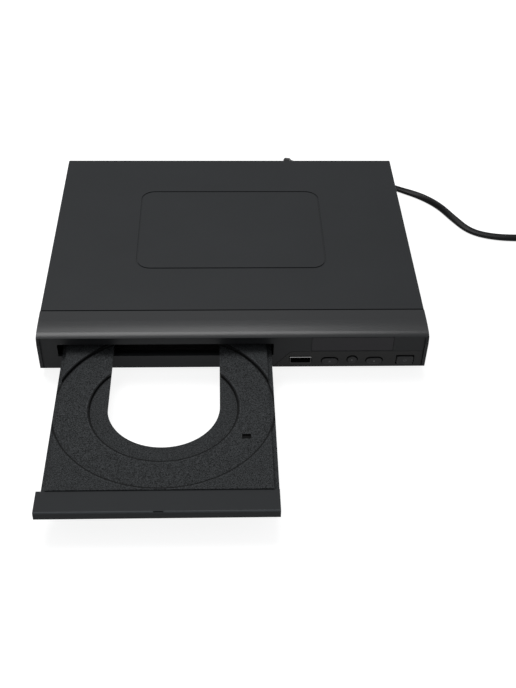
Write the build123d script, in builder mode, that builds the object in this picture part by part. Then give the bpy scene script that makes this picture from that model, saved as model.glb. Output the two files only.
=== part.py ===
from build123d import *
import math
import os

# A compact disc player with its motor-driven tray open.
# Frame: +X to the viewer's right, +Y to the back, +Z up, millimetres.
# The shapes are laid out about the middle of the case on the table. The pieces are written with
# the origin on the table below the middle of the whole object, its loose cord left aside.

# ---- Case -------------------------------------------------------------------
CASE_W = 225.0
CASE_D = 192.0
CASE_TOP = 31.0
FOOT_H = 4.0
WALL = 2.0
SEAM_BACK = 23.7  # nose of the bezel to the seam behind it
SEAM_GAP = 0.9
FIT = 0.15  # face-to-face clearance of moulded pieces
GAP = 0.3  # clearance between pieces that pass each other

FRONT_Y = -CASE_D / 2
REAR_Y = CASE_D / 2
SEAM_Y = FRONT_Y + SEAM_BACK
SIDE_X = CASE_W / 2
FLOOR_Z = FOOT_H + WALL  # upper face of the bottom chassis
ROOF_Z = CASE_TOP - WALL  # lower face of the top cover

# Front face of the bezel: a plane that leans back towards its foot.
LEAN = 5.6
LIP_Y = FRONT_Y + 1.1
LIP_Z = CASE_TOP - 2.2
FACE_H = 25.2  # lip to just past the foot of the recessed face
FACE_FRAME = 1.8  # width of the raised frame at both ends
FACE_CORNER = 2.0
FACE_WALL = 2.4
NOSE_D = 6.0  # depth of the hollow behind the rounded nose
NOSE_START = 14.0  # where the top begins to fall towards the nose
NOSE_TURN = (4.6, 0.72)  # from the front and the top, where the fall grows steeper
face = Plane(
    origin=(0, LIP_Y, LIP_Z),
    x_dir=(1, 0, 0),
    z_dir=(0, -math.cos(math.radians(LEAN)), -math.sin(math.radians(LEAN))),
)

# ---- Tray -------------------------------------------------------------------
DISC_X = -38.6
SPINDLE_Y = -19.6
TRAVEL = 121.7
TRAY_X = (-98.2, 21.9)
FLOOR_X = (-95.8, 19.1)  # textured floor between the two low side rails
DISC_R = 60.6  # pocket for the large disc
SMALL_R = 40.6  # pocket for the small disc
SLOT_R = 30.5
TRAY_TOP = 20.4
DISC_Z = TRAY_TOP - 1.6
SMALL_Z = DISC_Z - 1.4
TRAY_SKIN = 1.5
TRAY_FOOT = 14.6  # underside of the tray's rails
RAIL_TOP = 17.6
TRAY_REAR = -46.0
DOOR_X = (-100.3, 21.9)
DOOR_D = 14.3
DOOR_TOP = TRAY_TOP - 0.7
DOOR_H = 5.2
DOOR_FRONT = -217.4
NOTCH = (5.0, 0.7)  # mark at the middle of the door's front edge
TRAY_Y = SPINDLE_Y - TRAVEL  # disc centre with the tray open
SLIT_X = (-101.2, 23.2)  # tray opening in the bezel
SLIT_LOW = 14.1
SLIT_HIGH = 23.6

# ---- Loader -----------------------------------------------------------------
LOADER_Z = 7.0
LOADER_PLATE = 1.6
LOADER_TOP = LOADER_Z + LOADER_PLATE
LOADER_WALL = 2.3
LOADER_FRONT = -80.0
LOADER_REAR = 77.0
GUIDE = 0.3  # tray to loader, each side
WELL_HALF = 31.3  # half width of the window for the traverse
WELL_FRONT = -39.6
WELL_REAR = 60.0

# ---- Gears ------------------------------------------------------------------
RACK_MODULE = 1.0
RACK_TEETH = 12  # teeth of the wheel that drives the rack
RACK_X = 16.5  # pitch line of the rack, under the tray's right arm
RACK_Z = (14.9, 17.0)
TRAIN_MODULE = 0.7
TRAIN_TEETH = 30
PINION_TEETH = 10
TRAIN_Z = (8.9, 11.4)
DRIVE_Y = -54.0
DRIVE_X = RACK_X - RACK_MODULE * RACK_TEETH / 2
PULLEY_X = DRIVE_X + TRAIN_MODULE * (TRAIN_TEETH + PINION_TEETH) / 2
PULLEY_R = 9.0  # groove of the large pulley
PULLEY_Z = (11.8, 14.2)
MOTOR_PULLEY_R = 2.4
MOTOR_X = 38.0
MOTOR_Y = DRIVE_Y + 30.0
FLANGE_RIM = 1.0  # how far a pulley's flanges stand over its groove
BELT_T = 1.1
BELT_SLACK = 0.08
BELT_Z = (12.4, 13.6)
POST_R = 1.5
SHAFT_FIT = 0.05

# ---- Traverse ---------------------------------------------------------------
DROP = 3.2  # degrees that the traverse hangs down while the tray is open
PIVOT_ARM = 62.0  # pivot to spindle
PIVOT_Z = 11.8
PIVOT_R = 1.4
PIVOT_Y = SPINDLE_Y + PIVOT_ARM
DECK_HALF = 30.6
DECK_T = 1.8
DECK_FRONT = -75.0
DECK_REAR = 12.0
CAM_TRAVEL = 12.0
CAM_PIN_R = 1.3
CAM_PIN_Z = 2.2
SEAT_Z = 8.3  # turntable seat above the pivot
HUB_R = 7.3
HUB_H = 1.5
TABLE_R = 14.0
LENS_REST = -PIVOT_ARM + 24.0
deck = Plane(
    origin=(DISC_X, PIVOT_Y, PIVOT_Z),
    x_dir=(1, 0, 0),
    z_dir=(0, -math.sin(math.radians(DROP)), math.cos(math.radians(DROP))),
)

# ---- Clamp ------------------------------------------------------------------
BRIDGE_Z = 23.8
BRIDGE_T = 1.4
CLAMP_LOW = 21.0
CLAMP_NECK_R = 12.6
CLAMP_FLANGE_R = 15.5

# ---- Front controls ---------------------------------------------------------
PANEL_TOP = -11.7  # seam between the display strip and the control panel
PANEL_LEFT_TOP = 33.2
PANEL_LEFT_FOOT = 22.9
PANEL_FOOT = -24.6
PANEL_GAP = 0.2  # open seam around the control panel and the window
WINDOW_X = (45.1, 92.5)
WINDOW_V = (-11.3, -0.5)
BUTTON_PROUD = 0.5
BUTTON_TRAVEL = 0.5
BUTTON_GAP = 0.5
BUTTON_DROP = 0.25  # how far a button lies below the middle of its hole
BUTTON_LEN = 7.0
BUTTONS = {
    "open_button": (56.3, -19.7),
    "play_button": (69.4, -18.8),
    "stop_button": (82.4, -19.7),
    "power_button": (100.5, -19.2),
}
ROUND_ENDED = ("open_button", "stop_button")
BUTTON_SIZES = {
    "open_button": (9.3, 4.8),
    "play_button": (5.6, 5.6),
    "stop_button": (9.3, 4.8),
    "power_button": (9.7, 6.3),
}
USB_X = 39.1
USB_V = -18.7
USB_W = 12.4
USB_H = 5.2
USB_GAP = 0.35
USB_SHEET = 0.4
BOARD_T = 1.6
FRONT_BOARD_Z = -12.2  # face of the front board behind the face plane

# ---- Boards and sockets -----------------------------------------------------
BOARD_Z = 10.0
JACK_X = (70.0, 81.5, 93.0)
JACK_R = 4.15
JACK_BORE = 1.65
JACK_OUT = 8.0
JACK_NECK = (3.7, 0.3)  # radius of a socket's neck in the rear panel, and how far it shows
JACK_Z = BOARD_Z + BOARD_T + 6.2
HDMI_X = 54.5
HDMI_W = 15.0
HDMI_H = 5.6

# ---- Cord -------------------------------------------------------------------
CORD_D = 5.0
GLAND_X = 41.0
GLAND_Z = 17.2
GLAND_OUT = 14.0
GLAND_IN = 6.0
CORD_Z = CORD_D / 2
TURN_PITCH = CORD_D + 0.45  # between turns that lie side by side
LAYER_PITCH = CORD_D + 0.45
COIL_IN_R = 19.3
COIL_HALF_TURNS_IN = 6
COIL_HALF_TURNS_OUT = 5
LEAD_OUT_R = 53.0  # bend by which the cord leaves the coil for the plug
COIL_LIFT = 0.9  # the tie's strap runs below the turns


# ---- Shared shapes ----------------------------------------------------------
def block(x, y, z, mode=Mode.ADD):
    """A box between the limits x, y and z of the part being built."""
    with Locations(((x[0] + x[1]) / 2, (y[0] + y[1]) / 2, (z[0] + z[1]) / 2)):
        Box(x[1] - x[0], y[1] - y[0], z[1] - z[0], mode=mode)


def drum(x, y, z, radius, mode=Mode.ADD):
    """A cylinder along Z at x, y between the limits z."""
    with Locations((x, y, (z[0] + z[1]) / 2)):
        Cylinder(radius, z[1] - z[0], mode=mode)


def around(middle, width):
    """The limits of a width about its middle."""
    return (middle - width / 2, middle + width / 2)


def mirrored(side, near, far):
    """The limits near and far on the given side of the middle plane."""
    return tuple(sorted((side * near, side * far)))


def pill(x, y, z, width, height, mode=Mode.ADD):
    """A bar with round ends, lying along X, between the limits z."""
    span = (width - height) / 2
    block(around(x, 2 * span), around(y, height), z, mode)
    for side in (-1, 1):
        drum(x + side * span, y, z, height / 2, mode)


def screw(x, y, seat, shank_r, length, head_r, head_h):
    """A cross-head screw with its head on the level seat and its shank below."""
    drum(x, y, (seat - length, seat), shank_r)
    drum(x, y, (seat, seat + head_h), head_r)
    slot_z = (seat + head_h * 0.4, seat + head_h)
    block(around(x, head_r * 1.1), around(y, head_r * 0.28), slot_z, Mode.SUBTRACT)
    block(around(x, head_r * 0.28), around(y, head_r * 1.1), slot_z, Mode.SUBTRACT)


def gear(x, y, z, teeth, module, turn=0.0):
    """A spur wheel between the limits z. A tooth points along X, turned by turn degrees."""
    pitch_r = module * teeth / 2
    root_r = pitch_r - 1.15 * module
    tip_r = pitch_r + 0.8 * module
    step = math.pi * module
    drum(x, y, z, root_r)
    with BuildSketch() as tooth:
        Polygon(
            (root_r - 0.3 * module, -0.275 * step),
            (tip_r, -0.11 * step),
            (tip_r, 0.11 * step),
            (root_r - 0.3 * module, 0.275 * step),
            align=None,
        )
    body = Part(Solid.extrude(tooth.sketch.face(), Vector(0, 0, z[1] - z[0])).wrapped)
    for index in range(teeth):
        spin = turn + index * 360 / teeth
        add(Location((x, y, z[0]), (0, 0, spin)) * body)


# ---- Top cover --------------------------------------------------------------
PANEL_X = (-59.5, 58.5)  # engraved outline on the top
PANEL_Y = (-31.3, 56.3)
PANEL_R = 9.0
LINE_W = 1.0
LINE_DEPTH = 0.5
COVER_FOOT = FOOT_H + 0.6
CHASSIS_X = SIDE_X - WALL - FIT
FLANGE_T = 1.5
BOSS_R = 3.0
BOSS_X = CHASSIS_X - FLANGE_T - BOSS_R - 0.35
BOSS_YS = (-58.0, 84.0)
CASE_SCREW_R = 1.5
CASE_SCREW_LONG = 9.0
CASE_HEAD_R = 2.8
CASE_HEAD_H = 1.1

with BuildPart() as top_cover:
    cover_y = (SEAM_Y + SEAM_GAP / 2, REAR_Y)
    block((-SIDE_X, SIDE_X), cover_y, (ROOF_Z, CASE_TOP))
    for side in (-1, 1):
        block(mirrored(side, SIDE_X - WALL, SIDE_X), cover_y, (COVER_FOOT, CASE_TOP))
    side_rims = top_cover.edges().filter_by(Axis.Y).group_by(Axis.Z)[-1]
    fillet(side_rims, 0.8)
    for side in (-1, 1):
        for boss_y in BOSS_YS:
            drum(side * BOSS_X, boss_y, (FLOOR_Z + FIT, ROOF_Z), BOSS_R)
            hole_z = (FLOOR_Z + FIT, FLOOR_Z + CASE_SCREW_LONG)
            drum(side * BOSS_X, boss_y, hole_z, CASE_SCREW_R + SHAFT_FIT, Mode.SUBTRACT)
    with BuildSketch(Plane.XY.offset(CASE_TOP)):
        with Locations((sum(PANEL_X) / 2, sum(PANEL_Y) / 2)):
            RectangleRounded(PANEL_X[1] - PANEL_X[0], PANEL_Y[1] - PANEL_Y[0], PANEL_R)
            RectangleRounded(
                PANEL_X[1] - PANEL_X[0] - 2 * LINE_W,
                PANEL_Y[1] - PANEL_Y[0] - 2 * LINE_W,
                PANEL_R - LINE_W,
                mode=Mode.SUBTRACT,
            )
    extrude(amount=-LINE_DEPTH, mode=Mode.SUBTRACT)

# ---- Bottom chassis ---------------------------------------------------------
FOOT_R = 8.0
FOOT_STUD_R = 2.4
FOOT_X = 92.0
FOOT_YS = (-62.0, 80.0)
FLANGE_H = 9.0
LOADER_FEET = ((-80.0, -66.0), (-80.0, 68.0), (10.0, 68.0), (45.0, -62.0))
LOADER_POST_R = 4.5
LOADER_SCREW_R = 1.3
LOADER_HEAD_R = 3.2
LOADER_HEAD_H = 1.4
LOADER_SCREW_LONG = 3.2
MAIN_POSTS = ((51.0, 66.5), (51.0, 79.0), (99.0, 74.0), (70.0, -40.0), (98.0, -40.0))
POWER_POSTS = ((34.0, 2.0), (58.0, 2.0), (34.0, 48.0), (58.0, 48.0))
BOARD_POST_R = 2.6
BOARD_SCREW_R = 1.1
BOARD_HEAD_R = 2.0
BOARD_HEAD_H = 1.0
BOARD_SCREW_LONG = 5.0
VENT_W = 1.6
VENT_L = 22.0
VENT_STEP = 4.6

with BuildPart() as bottom_chassis:
    base_y = (SEAM_Y + FIT, REAR_Y - FIT)
    block((-CHASSIS_X, CHASSIS_X), base_y, (FOOT_H, FLOOR_Z))
    for side in (-1, 1):
        flange_y = (base_y[0] + 4.0, base_y[1] - 4.0)
        block(mirrored(side, CHASSIS_X - FLANGE_T, CHASSIS_X), flange_y, (FOOT_H, FLOOR_Z + FLANGE_H))
    for x, y in LOADER_FEET:
        drum(x, y, (FLOOR_Z, LOADER_Z), LOADER_POST_R)
        drum(x, y, (FOOT_H + 0.6, LOADER_Z), LOADER_SCREW_R + SHAFT_FIT, Mode.SUBTRACT)
    for x, y in MAIN_POSTS + POWER_POSTS:
        drum(x, y, (FLOOR_Z, BOARD_Z), BOARD_POST_R)
        drum(x, y, (FLOOR_Z, BOARD_Z), BOARD_SCREW_R + SHAFT_FIT, Mode.SUBTRACT)
    for side in (-1, 1):
        for foot_y in FOOT_YS:
            drum(side * FOOT_X, foot_y, (FOOT_H, FLOOR_Z), FOOT_STUD_R + SHAFT_FIT, Mode.SUBTRACT)
        for boss_y in BOSS_YS:
            head_z = (FOOT_H, FOOT_H + CASE_HEAD_H + 0.1)
            drum(side * BOSS_X, boss_y, (FOOT_H, FLOOR_Z), CASE_SCREW_R + SHAFT_FIT, Mode.SUBTRACT)
            drum(side * BOSS_X, boss_y, head_z, CASE_HEAD_R + FIT, Mode.SUBTRACT)
    for index in range(5):
        vent_x = 76.0 + index * VENT_STEP
        block(around(vent_x, VENT_W), around(20.0, VENT_L), (FOOT_H, FLOOR_Z), Mode.SUBTRACT)

with BuildPart() as feet:
    for side in (-1, 1):
        for foot_y in FOOT_YS:
            drum(side * FOOT_X, foot_y, (0, FOOT_H), FOOT_R)
            drum(side * FOOT_X, foot_y, (FOOT_H, FLOOR_Z + 0.4), FOOT_STUD_R)
    soles = feet.edges().filter_by(GeomType.CIRCLE).group_by(Axis.Z)[0]
    chamfer(soles, 0.8)

with BuildPart() as case_screws:
    for side in (-1, 1):
        for boss_y in BOSS_YS:
            head_z = (FOOT_H, FOOT_H + CASE_HEAD_H)
            shank_z = (FOOT_H + CASE_HEAD_H, FOOT_H + CASE_SCREW_LONG)
            slot_z = (FOOT_H, FOOT_H + CASE_HEAD_H / 2)
            drum(side * BOSS_X, boss_y, head_z, CASE_HEAD_R)
            drum(side * BOSS_X, boss_y, shank_z, CASE_SCREW_R)
            block(around(side * BOSS_X, 3.0), around(boss_y, 0.8), slot_z, Mode.SUBTRACT)
            block(around(side * BOSS_X, 0.8), around(boss_y, 3.0), slot_z, Mode.SUBTRACT)

# ---- Rear panel -------------------------------------------------------------
REAR_IN = REAR_Y - 0.6
REAR_T = 1.6
HDMI_Z = BOARD_Z + BOARD_T + HDMI_H / 2 + 0.2
GRILLE_X = -40.0
rear_view = Plane(origin=(0, REAR_IN, 0), x_dir=(1, 0, 0), z_dir=(0, -1, 0))
with BuildPart(rear_view) as rear_panel:
    panel_z = (0, REAR_T)
    block((-CHASSIS_X + FLANGE_T, CHASSIS_X - FLANGE_T), (FLOOR_Z, ROOF_Z - FIT), panel_z)
    for x in JACK_X:
        drum(x, JACK_Z, panel_z, JACK_R + GAP, Mode.SUBTRACT)
    block(around(HDMI_X, HDMI_W + 1.0), around(HDMI_Z, HDMI_H + 1.0), panel_z, Mode.SUBTRACT)
    drum(GLAND_X, GLAND_Z, panel_z, 4.6, Mode.SUBTRACT)
    for index in range(16):
        grille_x = GRILLE_X + (index - 7.5) * VENT_STEP
        pill_z = (CASE_TOP + FOOT_H) / 2
        block(around(grille_x, 1.8), around(pill_z, 13.0), panel_z, Mode.SUBTRACT)

# ---- Front bezel ------------------------------------------------------------
BELLY_Z = CASE_TOP - 7.0
TONGUE = 5.0  # how far the bezel's inner lip reaches under the cover
TONGUE_T = 1.2
HEEL_Y = LIP_Y + 1.4
BEZEL_BACK = SEAM_Y - SEAM_GAP / 2
BEZEL_BOSSES = ((32.0, -6.0), (103.5, -6.0))
BEZEL_BOSS_R = 2.2
LEDGE = 1.2
SKIN = 1.2  # thickness of the window and of the control panel
SINK = 0.1  # glued seat behind them
PANEL_BEVEL = 1.2  # blunted upper left corner of the control panel
SOLE_V = -22.8  # lowest edge of the opening behind the control panel
face_cos = math.cos(math.radians(LEAN))
face_sin = math.sin(math.radians(LEAN))


def control_outline(shrink, foot):
    """Corners of the control panel on the front face, drawn in by shrink, down to foot."""
    right = SIDE_X - FACE_FRAME - shrink
    slope = (PANEL_LEFT_TOP - PANEL_LEFT_FOOT) / (PANEL_TOP - PANEL_FOOT)
    aside = shrink * math.hypot(1, slope)
    left_foot = PANEL_LEFT_FOOT + (foot - PANEL_FOOT) * slope + aside
    return [
        (PANEL_LEFT_TOP - PANEL_BEVEL * slope + aside, PANEL_TOP - PANEL_BEVEL - shrink / 2),
        (PANEL_LEFT_TOP + PANEL_BEVEL + aside, PANEL_TOP - shrink),
        (right, PANEL_TOP - shrink),
        (right, foot),
        (left_foot, foot),
    ]


with BuildPart() as front_bezel:
    with BuildSketch(Plane.YZ.offset(-SIDE_X)):
        with BuildLine():
            roof = Line((BEZEL_BACK, CASE_TOP), (FRONT_Y + NOSE_START, CASE_TOP))
            turn = (FRONT_Y + NOSE_TURN[0], CASE_TOP - NOSE_TURN[1])
            fall = TangentArc(roof @ 1, turn, tangent=roof % 1)
            nose = TangentArc(fall @ 1, (LIP_Y - 0.4, LIP_Z), tangent=fall % 1)
            belly = Line(nose @ 1, (FRONT_Y + 0.2, BELLY_Z))
            shin = Line(belly @ 1, (HEEL_Y, FOOT_H + 1.2))
            heel = Line(shin @ 1, (HEEL_Y + 1.4, FOOT_H))
            sole = Line(heel @ 1, (BEZEL_BACK, FOOT_H))
            Line(sole @ 1, roof @ 0)
        make_face()
    extrude(amount=CASE_W)
    with BuildSketch(Plane.YZ.offset(-SIDE_X + WALL)):
        inner_y = LIP_Y + FACE_WALL / face_cos
        Polygon(
            (BEZEL_BACK, ROOF_Z),
            (FRONT_Y + NOSE_D, ROOF_Z),
            (inner_y + WALL * face_sin, LIP_Z - WALL),
            (inner_y + (LIP_Z - FLOOR_Z) * face_sin / face_cos, FLOOR_Z),
            (BEZEL_BACK, FLOOR_Z),
            align=None,
        )
    extrude(amount=CASE_W - 2 * WALL, mode=Mode.SUBTRACT)
    with BuildSketch(face):
        RectangleRounded(CASE_W - 2 * FACE_FRAME, 2 * FACE_H, FACE_CORNER)
        with Locations((0, FACE_H / 2)):
            Rectangle(CASE_W, FACE_H, mode=Mode.SUBTRACT)
    extrude(amount=NOSE_D, mode=Mode.SUBTRACT)
    # Pockets for the window and the control panel, each with a ledge behind.
    with BuildSketch(face):
        with Locations((sum(WINDOW_X) / 2, sum(WINDOW_V) / 2)):
            Rectangle(WINDOW_X[1] - WINDOW_X[0] + 2 * SINK, WINDOW_V[1] - WINDOW_V[0] + 2 * SINK)
        Polygon(*control_outline(0, -FACE_H), align=None)
    extrude(amount=-SKIN - SINK, mode=Mode.SUBTRACT)
    with BuildSketch(face):
        with Locations((sum(WINDOW_X) / 2, sum(WINDOW_V) / 2)):
            Rectangle(WINDOW_X[1] - WINDOW_X[0] - 2 * LEDGE, WINDOW_V[1] - WINDOW_V[0] - 2 * LEDGE)
        Polygon(*control_outline(LEDGE, SOLE_V), align=None)
    extrude(amount=-NOSE_D, mode=Mode.SUBTRACT)
    block(SLIT_X, (FRONT_Y - 3, inner_y + 5), (SLIT_LOW, SLIT_HIGH), Mode.SUBTRACT)
    with BuildSketch(face.offset(-FACE_WALL + 0.6)):
        with Locations(*BEZEL_BOSSES):
            Circle(BEZEL_BOSS_R)
    extrude(amount=FRONT_BOARD_Z + FACE_WALL - 0.6)
    with BuildSketch(face.offset(FRONT_BOARD_Z)):
        with Locations(*BEZEL_BOSSES):
            Circle(BOARD_SCREW_R + SHAFT_FIT)
    extrude(amount=BOARD_SCREW_LONG, mode=Mode.SUBTRACT)
    # Inner lip that the cover and the chassis slide over.
    lip_y = (BEZEL_BACK - TONGUE, BEZEL_BACK + TONGUE)
    root_y = (BEZEL_BACK - TONGUE, BEZEL_BACK - 1)
    tongue_z = (ROOF_Z - FIT - TONGUE_T, ROOF_Z - FIT)
    tongue_x = CHASSIS_X - TONGUE_T
    block((-CHASSIS_X, CHASSIS_X), lip_y, tongue_z)
    block((-CHASSIS_X, CHASSIS_X), root_y, (tongue_z[0], ROOF_Z + 0.5))
    for side in (-1, 1):
        side_z = (FLOOR_Z + FLANGE_H + 1, ROOF_Z - FIT)
        block(mirrored(side, tongue_x, CHASSIS_X), lip_y, side_z)
        block(mirrored(side, tongue_x, SIDE_X - WALL + 0.5), root_y, side_z)

# ---- Window and control panel -----------------------------------------------
with BuildPart(face) as display_window:
    pane_x = (WINDOW_X[0] + PANEL_GAP - SINK, WINDOW_X[1] - PANEL_GAP + SINK)
    pane_v = (WINDOW_V[0] + PANEL_GAP - SINK, WINDOW_V[1] - PANEL_GAP + SINK)
    block(pane_x, pane_v, (-SKIN - SINK, 0))
    fillet(display_window.edges().filter_by(GeomType.LINE).group_by(SortBy.LENGTH)[0], 0.5)

with BuildPart(face) as control_panel:
    with BuildSketch(face.offset(-SKIN - SINK)):
        Polygon(*control_outline(PANEL_GAP, PANEL_FOOT), align=None)
    extrude(amount=SKIN + SINK)
    panel_z = (-SKIN - SINK, 0)
    for name, (x, v) in BUTTONS.items():
        width, height = [size + 2 * BUTTON_GAP for size in BUTTON_SIZES[name]]
        hole_v = v + BUTTON_DROP
        if name in ROUND_ENDED:
            pill(x, hole_v, panel_z, width, height, Mode.SUBTRACT)
        elif name == "play_button":
            drum(x, hole_v, panel_z, width / 2, Mode.SUBTRACT)
        else:
            block(around(x, width), around(hole_v, height), panel_z, Mode.SUBTRACT)
    usb_hole_x = around(USB_X, USB_W + 2 * USB_GAP)
    block(usb_hole_x, around(USB_V, USB_H + 2 * USB_GAP), panel_z, Mode.SUBTRACT)

# ---- Buttons ----------------------------------------------------------------
TAB_W = 1.6
TAB_Z = (-SKIN - SINK - 1.4, -SKIN - SINK - 0.3)
buttons = {}
for name, (x, v) in BUTTONS.items():
    width, height = BUTTON_SIZES[name]
    key_z = (-BUTTON_LEN, BUTTON_PROUD)
    with BuildPart(face) as key:
        if name in ROUND_ENDED:
            pill(x, v, key_z, width, height)
        elif name == "play_button":
            drum(x, v, key_z, width / 2)
        else:
            block(around(x, width), around(v, height), key_z)
            fillet(key.edges().filter_by(lambda e: abs(e.length - BUTTON_LEN - BUTTON_PROUD) < 0.01), 1.2)
        front = key.faces().sort_by(Axis.Y)[0]
        fillet(front.edges(), 0.4)
        block(around(x, width + 2 * TAB_W), around(v, 2.0), TAB_Z)
    buttons[name] = key

# ---- Front board and what it carries ----------------------------------------
BOARD_V = (-23.0, -3.2)
TACT_W = 6.0
TACT_H = 3.5
TACT_TIP_R = 1.7
DISPLAY_X = (47.2, 83.0)
DISPLAY_V = (-10.2, -2.6)
RECEIVER_X = 88.2
RECEIVER_V = -6.2
board_back = FRONT_BOARD_Z - BOARD_T

with BuildPart(face) as front_board:
    block((28.2, 107.6), BOARD_V, (board_back, FRONT_BOARD_Z))
    for x, v in BEZEL_BOSSES:
        drum(x, v, (board_back, FRONT_BOARD_Z), BOARD_SCREW_R + SHAFT_FIT, Mode.SUBTRACT)

with BuildPart(face) as tact_switches:
    for x, v in BUTTONS.values():
        block(around(x, TACT_W), around(v, TACT_W), (FRONT_BOARD_Z, FRONT_BOARD_Z + TACT_H))
        drum(x, v, (FRONT_BOARD_Z, -BUTTON_LEN - BUTTON_TRAVEL - 0.2), TACT_TIP_R)

with BuildPart(face) as display_module:
    block(DISPLAY_X, DISPLAY_V, (FRONT_BOARD_Z, -4.0))
    digit_v = sum(DISPLAY_V) / 2
    for index in range(5):
        digit_x = DISPLAY_X[0] + 5.0 + index * 6.4
        block(around(digit_x, 4.4), around(digit_v, 5.6), (-4.3, -3.8))

with BuildPart(face) as ir_receiver:
    block(around(RECEIVER_X, 5.0), around(RECEIVER_V, 5.6), (FRONT_BOARD_Z, -5.4))
    drum(RECEIVER_X, RECEIVER_V, (-6.0, -4.4), 2.0)

with BuildPart(face) as usb_shell:
    shell_z = (FRONT_BOARD_Z, 0.35)
    block(around(USB_X, USB_W), around(USB_V, USB_H), shell_z)
    hollow_x = around(USB_X, USB_W - 2 * USB_SHEET)
    hollow_z = (FRONT_BOARD_Z + USB_SHEET, 1)
    block(hollow_x, around(USB_V, USB_H - 2 * USB_SHEET), hollow_z, Mode.SUBTRACT)

with BuildPart(face) as usb_tongue:
    tongue_v = USB_V + 0.9
    block(around(USB_X, USB_W - 2.4), around(tongue_v, 1.8), (FRONT_BOARD_Z + USB_SHEET, -1.6))
    for index in range(4):
        contact_x = USB_X + (index - 1.5) * 2.2
        block(around(contact_x, 1.0), around(tongue_v - 0.95, 0.15), (-10.0, -2.4))

# ---- Tray -------------------------------------------------------------------
CORNER_CLEAR = 2.0  # solid ring left around the disc pocket below
LEVEL_CUT = 3.0
CHANNEL_X = (3.4, RACK_X + 1.15 * RACK_MODULE)
HOLE_X = (3.6, 8.4)
HOLE_Y = (-166.2, -162.8)
HOLE_FLOOR = 0.6  # left below the small recess, above the rack's channel
tray_front = DOOR_FRONT + DOOR_D
plate_low = SMALL_Z - TRAY_SKIN
rack_front = DRIVE_Y - TRAVEL - RACK_MODULE * (RACK_TEETH / 2 + 2)
tooth_pitch = math.pi * RACK_MODULE


def rack_outline(count, first_y):
    """Points of the rack's toothed edge. Its teeth point towards -X."""
    root = RACK_X + 1.15 * RACK_MODULE
    tip = RACK_X - 0.8 * RACK_MODULE
    points = []
    for index in range(count):
        middle = first_y + index * tooth_pitch
        points.append((root, middle - 0.275 * tooth_pitch))
        points.append((tip, middle - 0.11 * tooth_pitch))
        points.append((tip, middle + 0.11 * tooth_pitch))
        points.append((root, middle + 0.275 * tooth_pitch))
    return points


with BuildPart() as disc_tray:
    tray_y = (tray_front, TRAY_REAR)
    block(FLOOR_X, tray_y, (plate_low, TRAY_TOP))
    block((TRAY_X[0], FLOOR_X[0] + 1), tray_y, (TRAY_FOOT, RAIL_TOP))
    block((CHANNEL_X[1], TRAY_X[1]), tray_y, (TRAY_FOOT, RAIL_TOP))
    block(TRAY_X, (tray_front, tray_front + 2.5), (TRAY_FOOT, RAIL_TOP))
    block(FLOOR_X, (TRAY_REAR - 1.2, TRAY_REAR), (plate_low, TRAY_TOP + 0.8))
    with BuildSketch(Plane.XY.offset(plate_low)):
        with Locations((sum(FLOOR_X) / 2 - 6, (tray_front + TRAY_REAR) / 2)):
            Rectangle(FLOOR_X[1] - FLOOR_X[0] - 18, TRAY_REAR - tray_front - 8)
        with Locations((DISC_X, TRAY_Y)):
            Circle(DISC_R + CORNER_CLEAR, mode=Mode.SUBTRACT)
        with Locations((DISC_X, TRAY_REAR)):
            Rectangle(2 * SLOT_R + 5, 2 * DISC_R, mode=Mode.SUBTRACT)
        with Locations((DISC_X, (tray_front + TRAY_REAR) / 2)):
            Rectangle(4, 400, mode=Mode.SUBTRACT)
    extrude(amount=LEVEL_CUT, mode=Mode.SUBTRACT)
    drum(DISC_X, TRAY_Y, (DISC_Z, TRAY_TOP), DISC_R, Mode.SUBTRACT)
    drum(DISC_X, TRAY_Y, (SMALL_Z, TRAY_TOP), SMALL_R, Mode.SUBTRACT)
    drum(DISC_X, TRAY_Y + 1, (TRAY_FOOT, TRAY_TOP), SLOT_R, Mode.SUBTRACT)
    slot_y = (TRAY_Y + 1, TRAY_REAR + 1)
    block(around(DISC_X, 2 * SLOT_R), slot_y, (TRAY_FOOT, TRAY_TOP + 2), Mode.SUBTRACT)
    channel_z = (TRAY_FOOT, RACK_Z[1] + GAP)
    block(CHANNEL_X, (rack_front, TRAY_REAR), channel_z, Mode.SUBTRACT)
    tooth_count = int((TRAY_REAR - rack_front) / tooth_pitch) - 1
    first_tooth = DRIVE_Y + tooth_pitch / 2 - tooth_pitch * int((DRIVE_Y - rack_front) / tooth_pitch)
    with BuildSketch(Plane.XY.offset(TRAY_FOOT)):
        edge_points = rack_outline(tooth_count, first_tooth)
        outer_x = CHANNEL_X[1] + 0.5
        ends = [(outer_x, edge_points[-1][1]), (outer_x, edge_points[0][1])]
        Polygon(*edge_points, *ends, align=None)
    extrude(amount=channel_z[1] - TRAY_FOOT + 0.2)
    block(HOLE_X, HOLE_Y, (channel_z[1] + HOLE_FLOOR, TRAY_TOP), Mode.SUBTRACT)

with BuildPart() as tray_door:
    door_y = (DOOR_FRONT, tray_front)
    block(DOOR_X, door_y, (DOOR_TOP - DOOR_H, DOOR_TOP))
    nose_edges = tray_door.edges().filter_by(Axis.X).group_by(Axis.Y)[0]
    fillet(nose_edges, 0.8)
    under_x = (DOOR_X[0] + 2, DOOR_X[1] - 2)
    block(under_x, (DOOR_FRONT + 3, tray_front), (DOOR_TOP - DOOR_H, DOOR_TOP - 2), Mode.SUBTRACT)
    for rib_x in (DISC_X - 40, DISC_X, DISC_X + 40):
        block(around(rib_x, 1.6), (DOOR_FRONT + 2, tray_front), (DOOR_TOP - DOOR_H, DOOR_TOP))
    notch_y = (DOOR_FRONT, DOOR_FRONT + NOTCH[1])
    block(around(DISC_X, NOTCH[0]), notch_y, (DOOR_TOP - NOTCH[1], DOOR_TOP), Mode.SUBTRACT)

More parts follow.
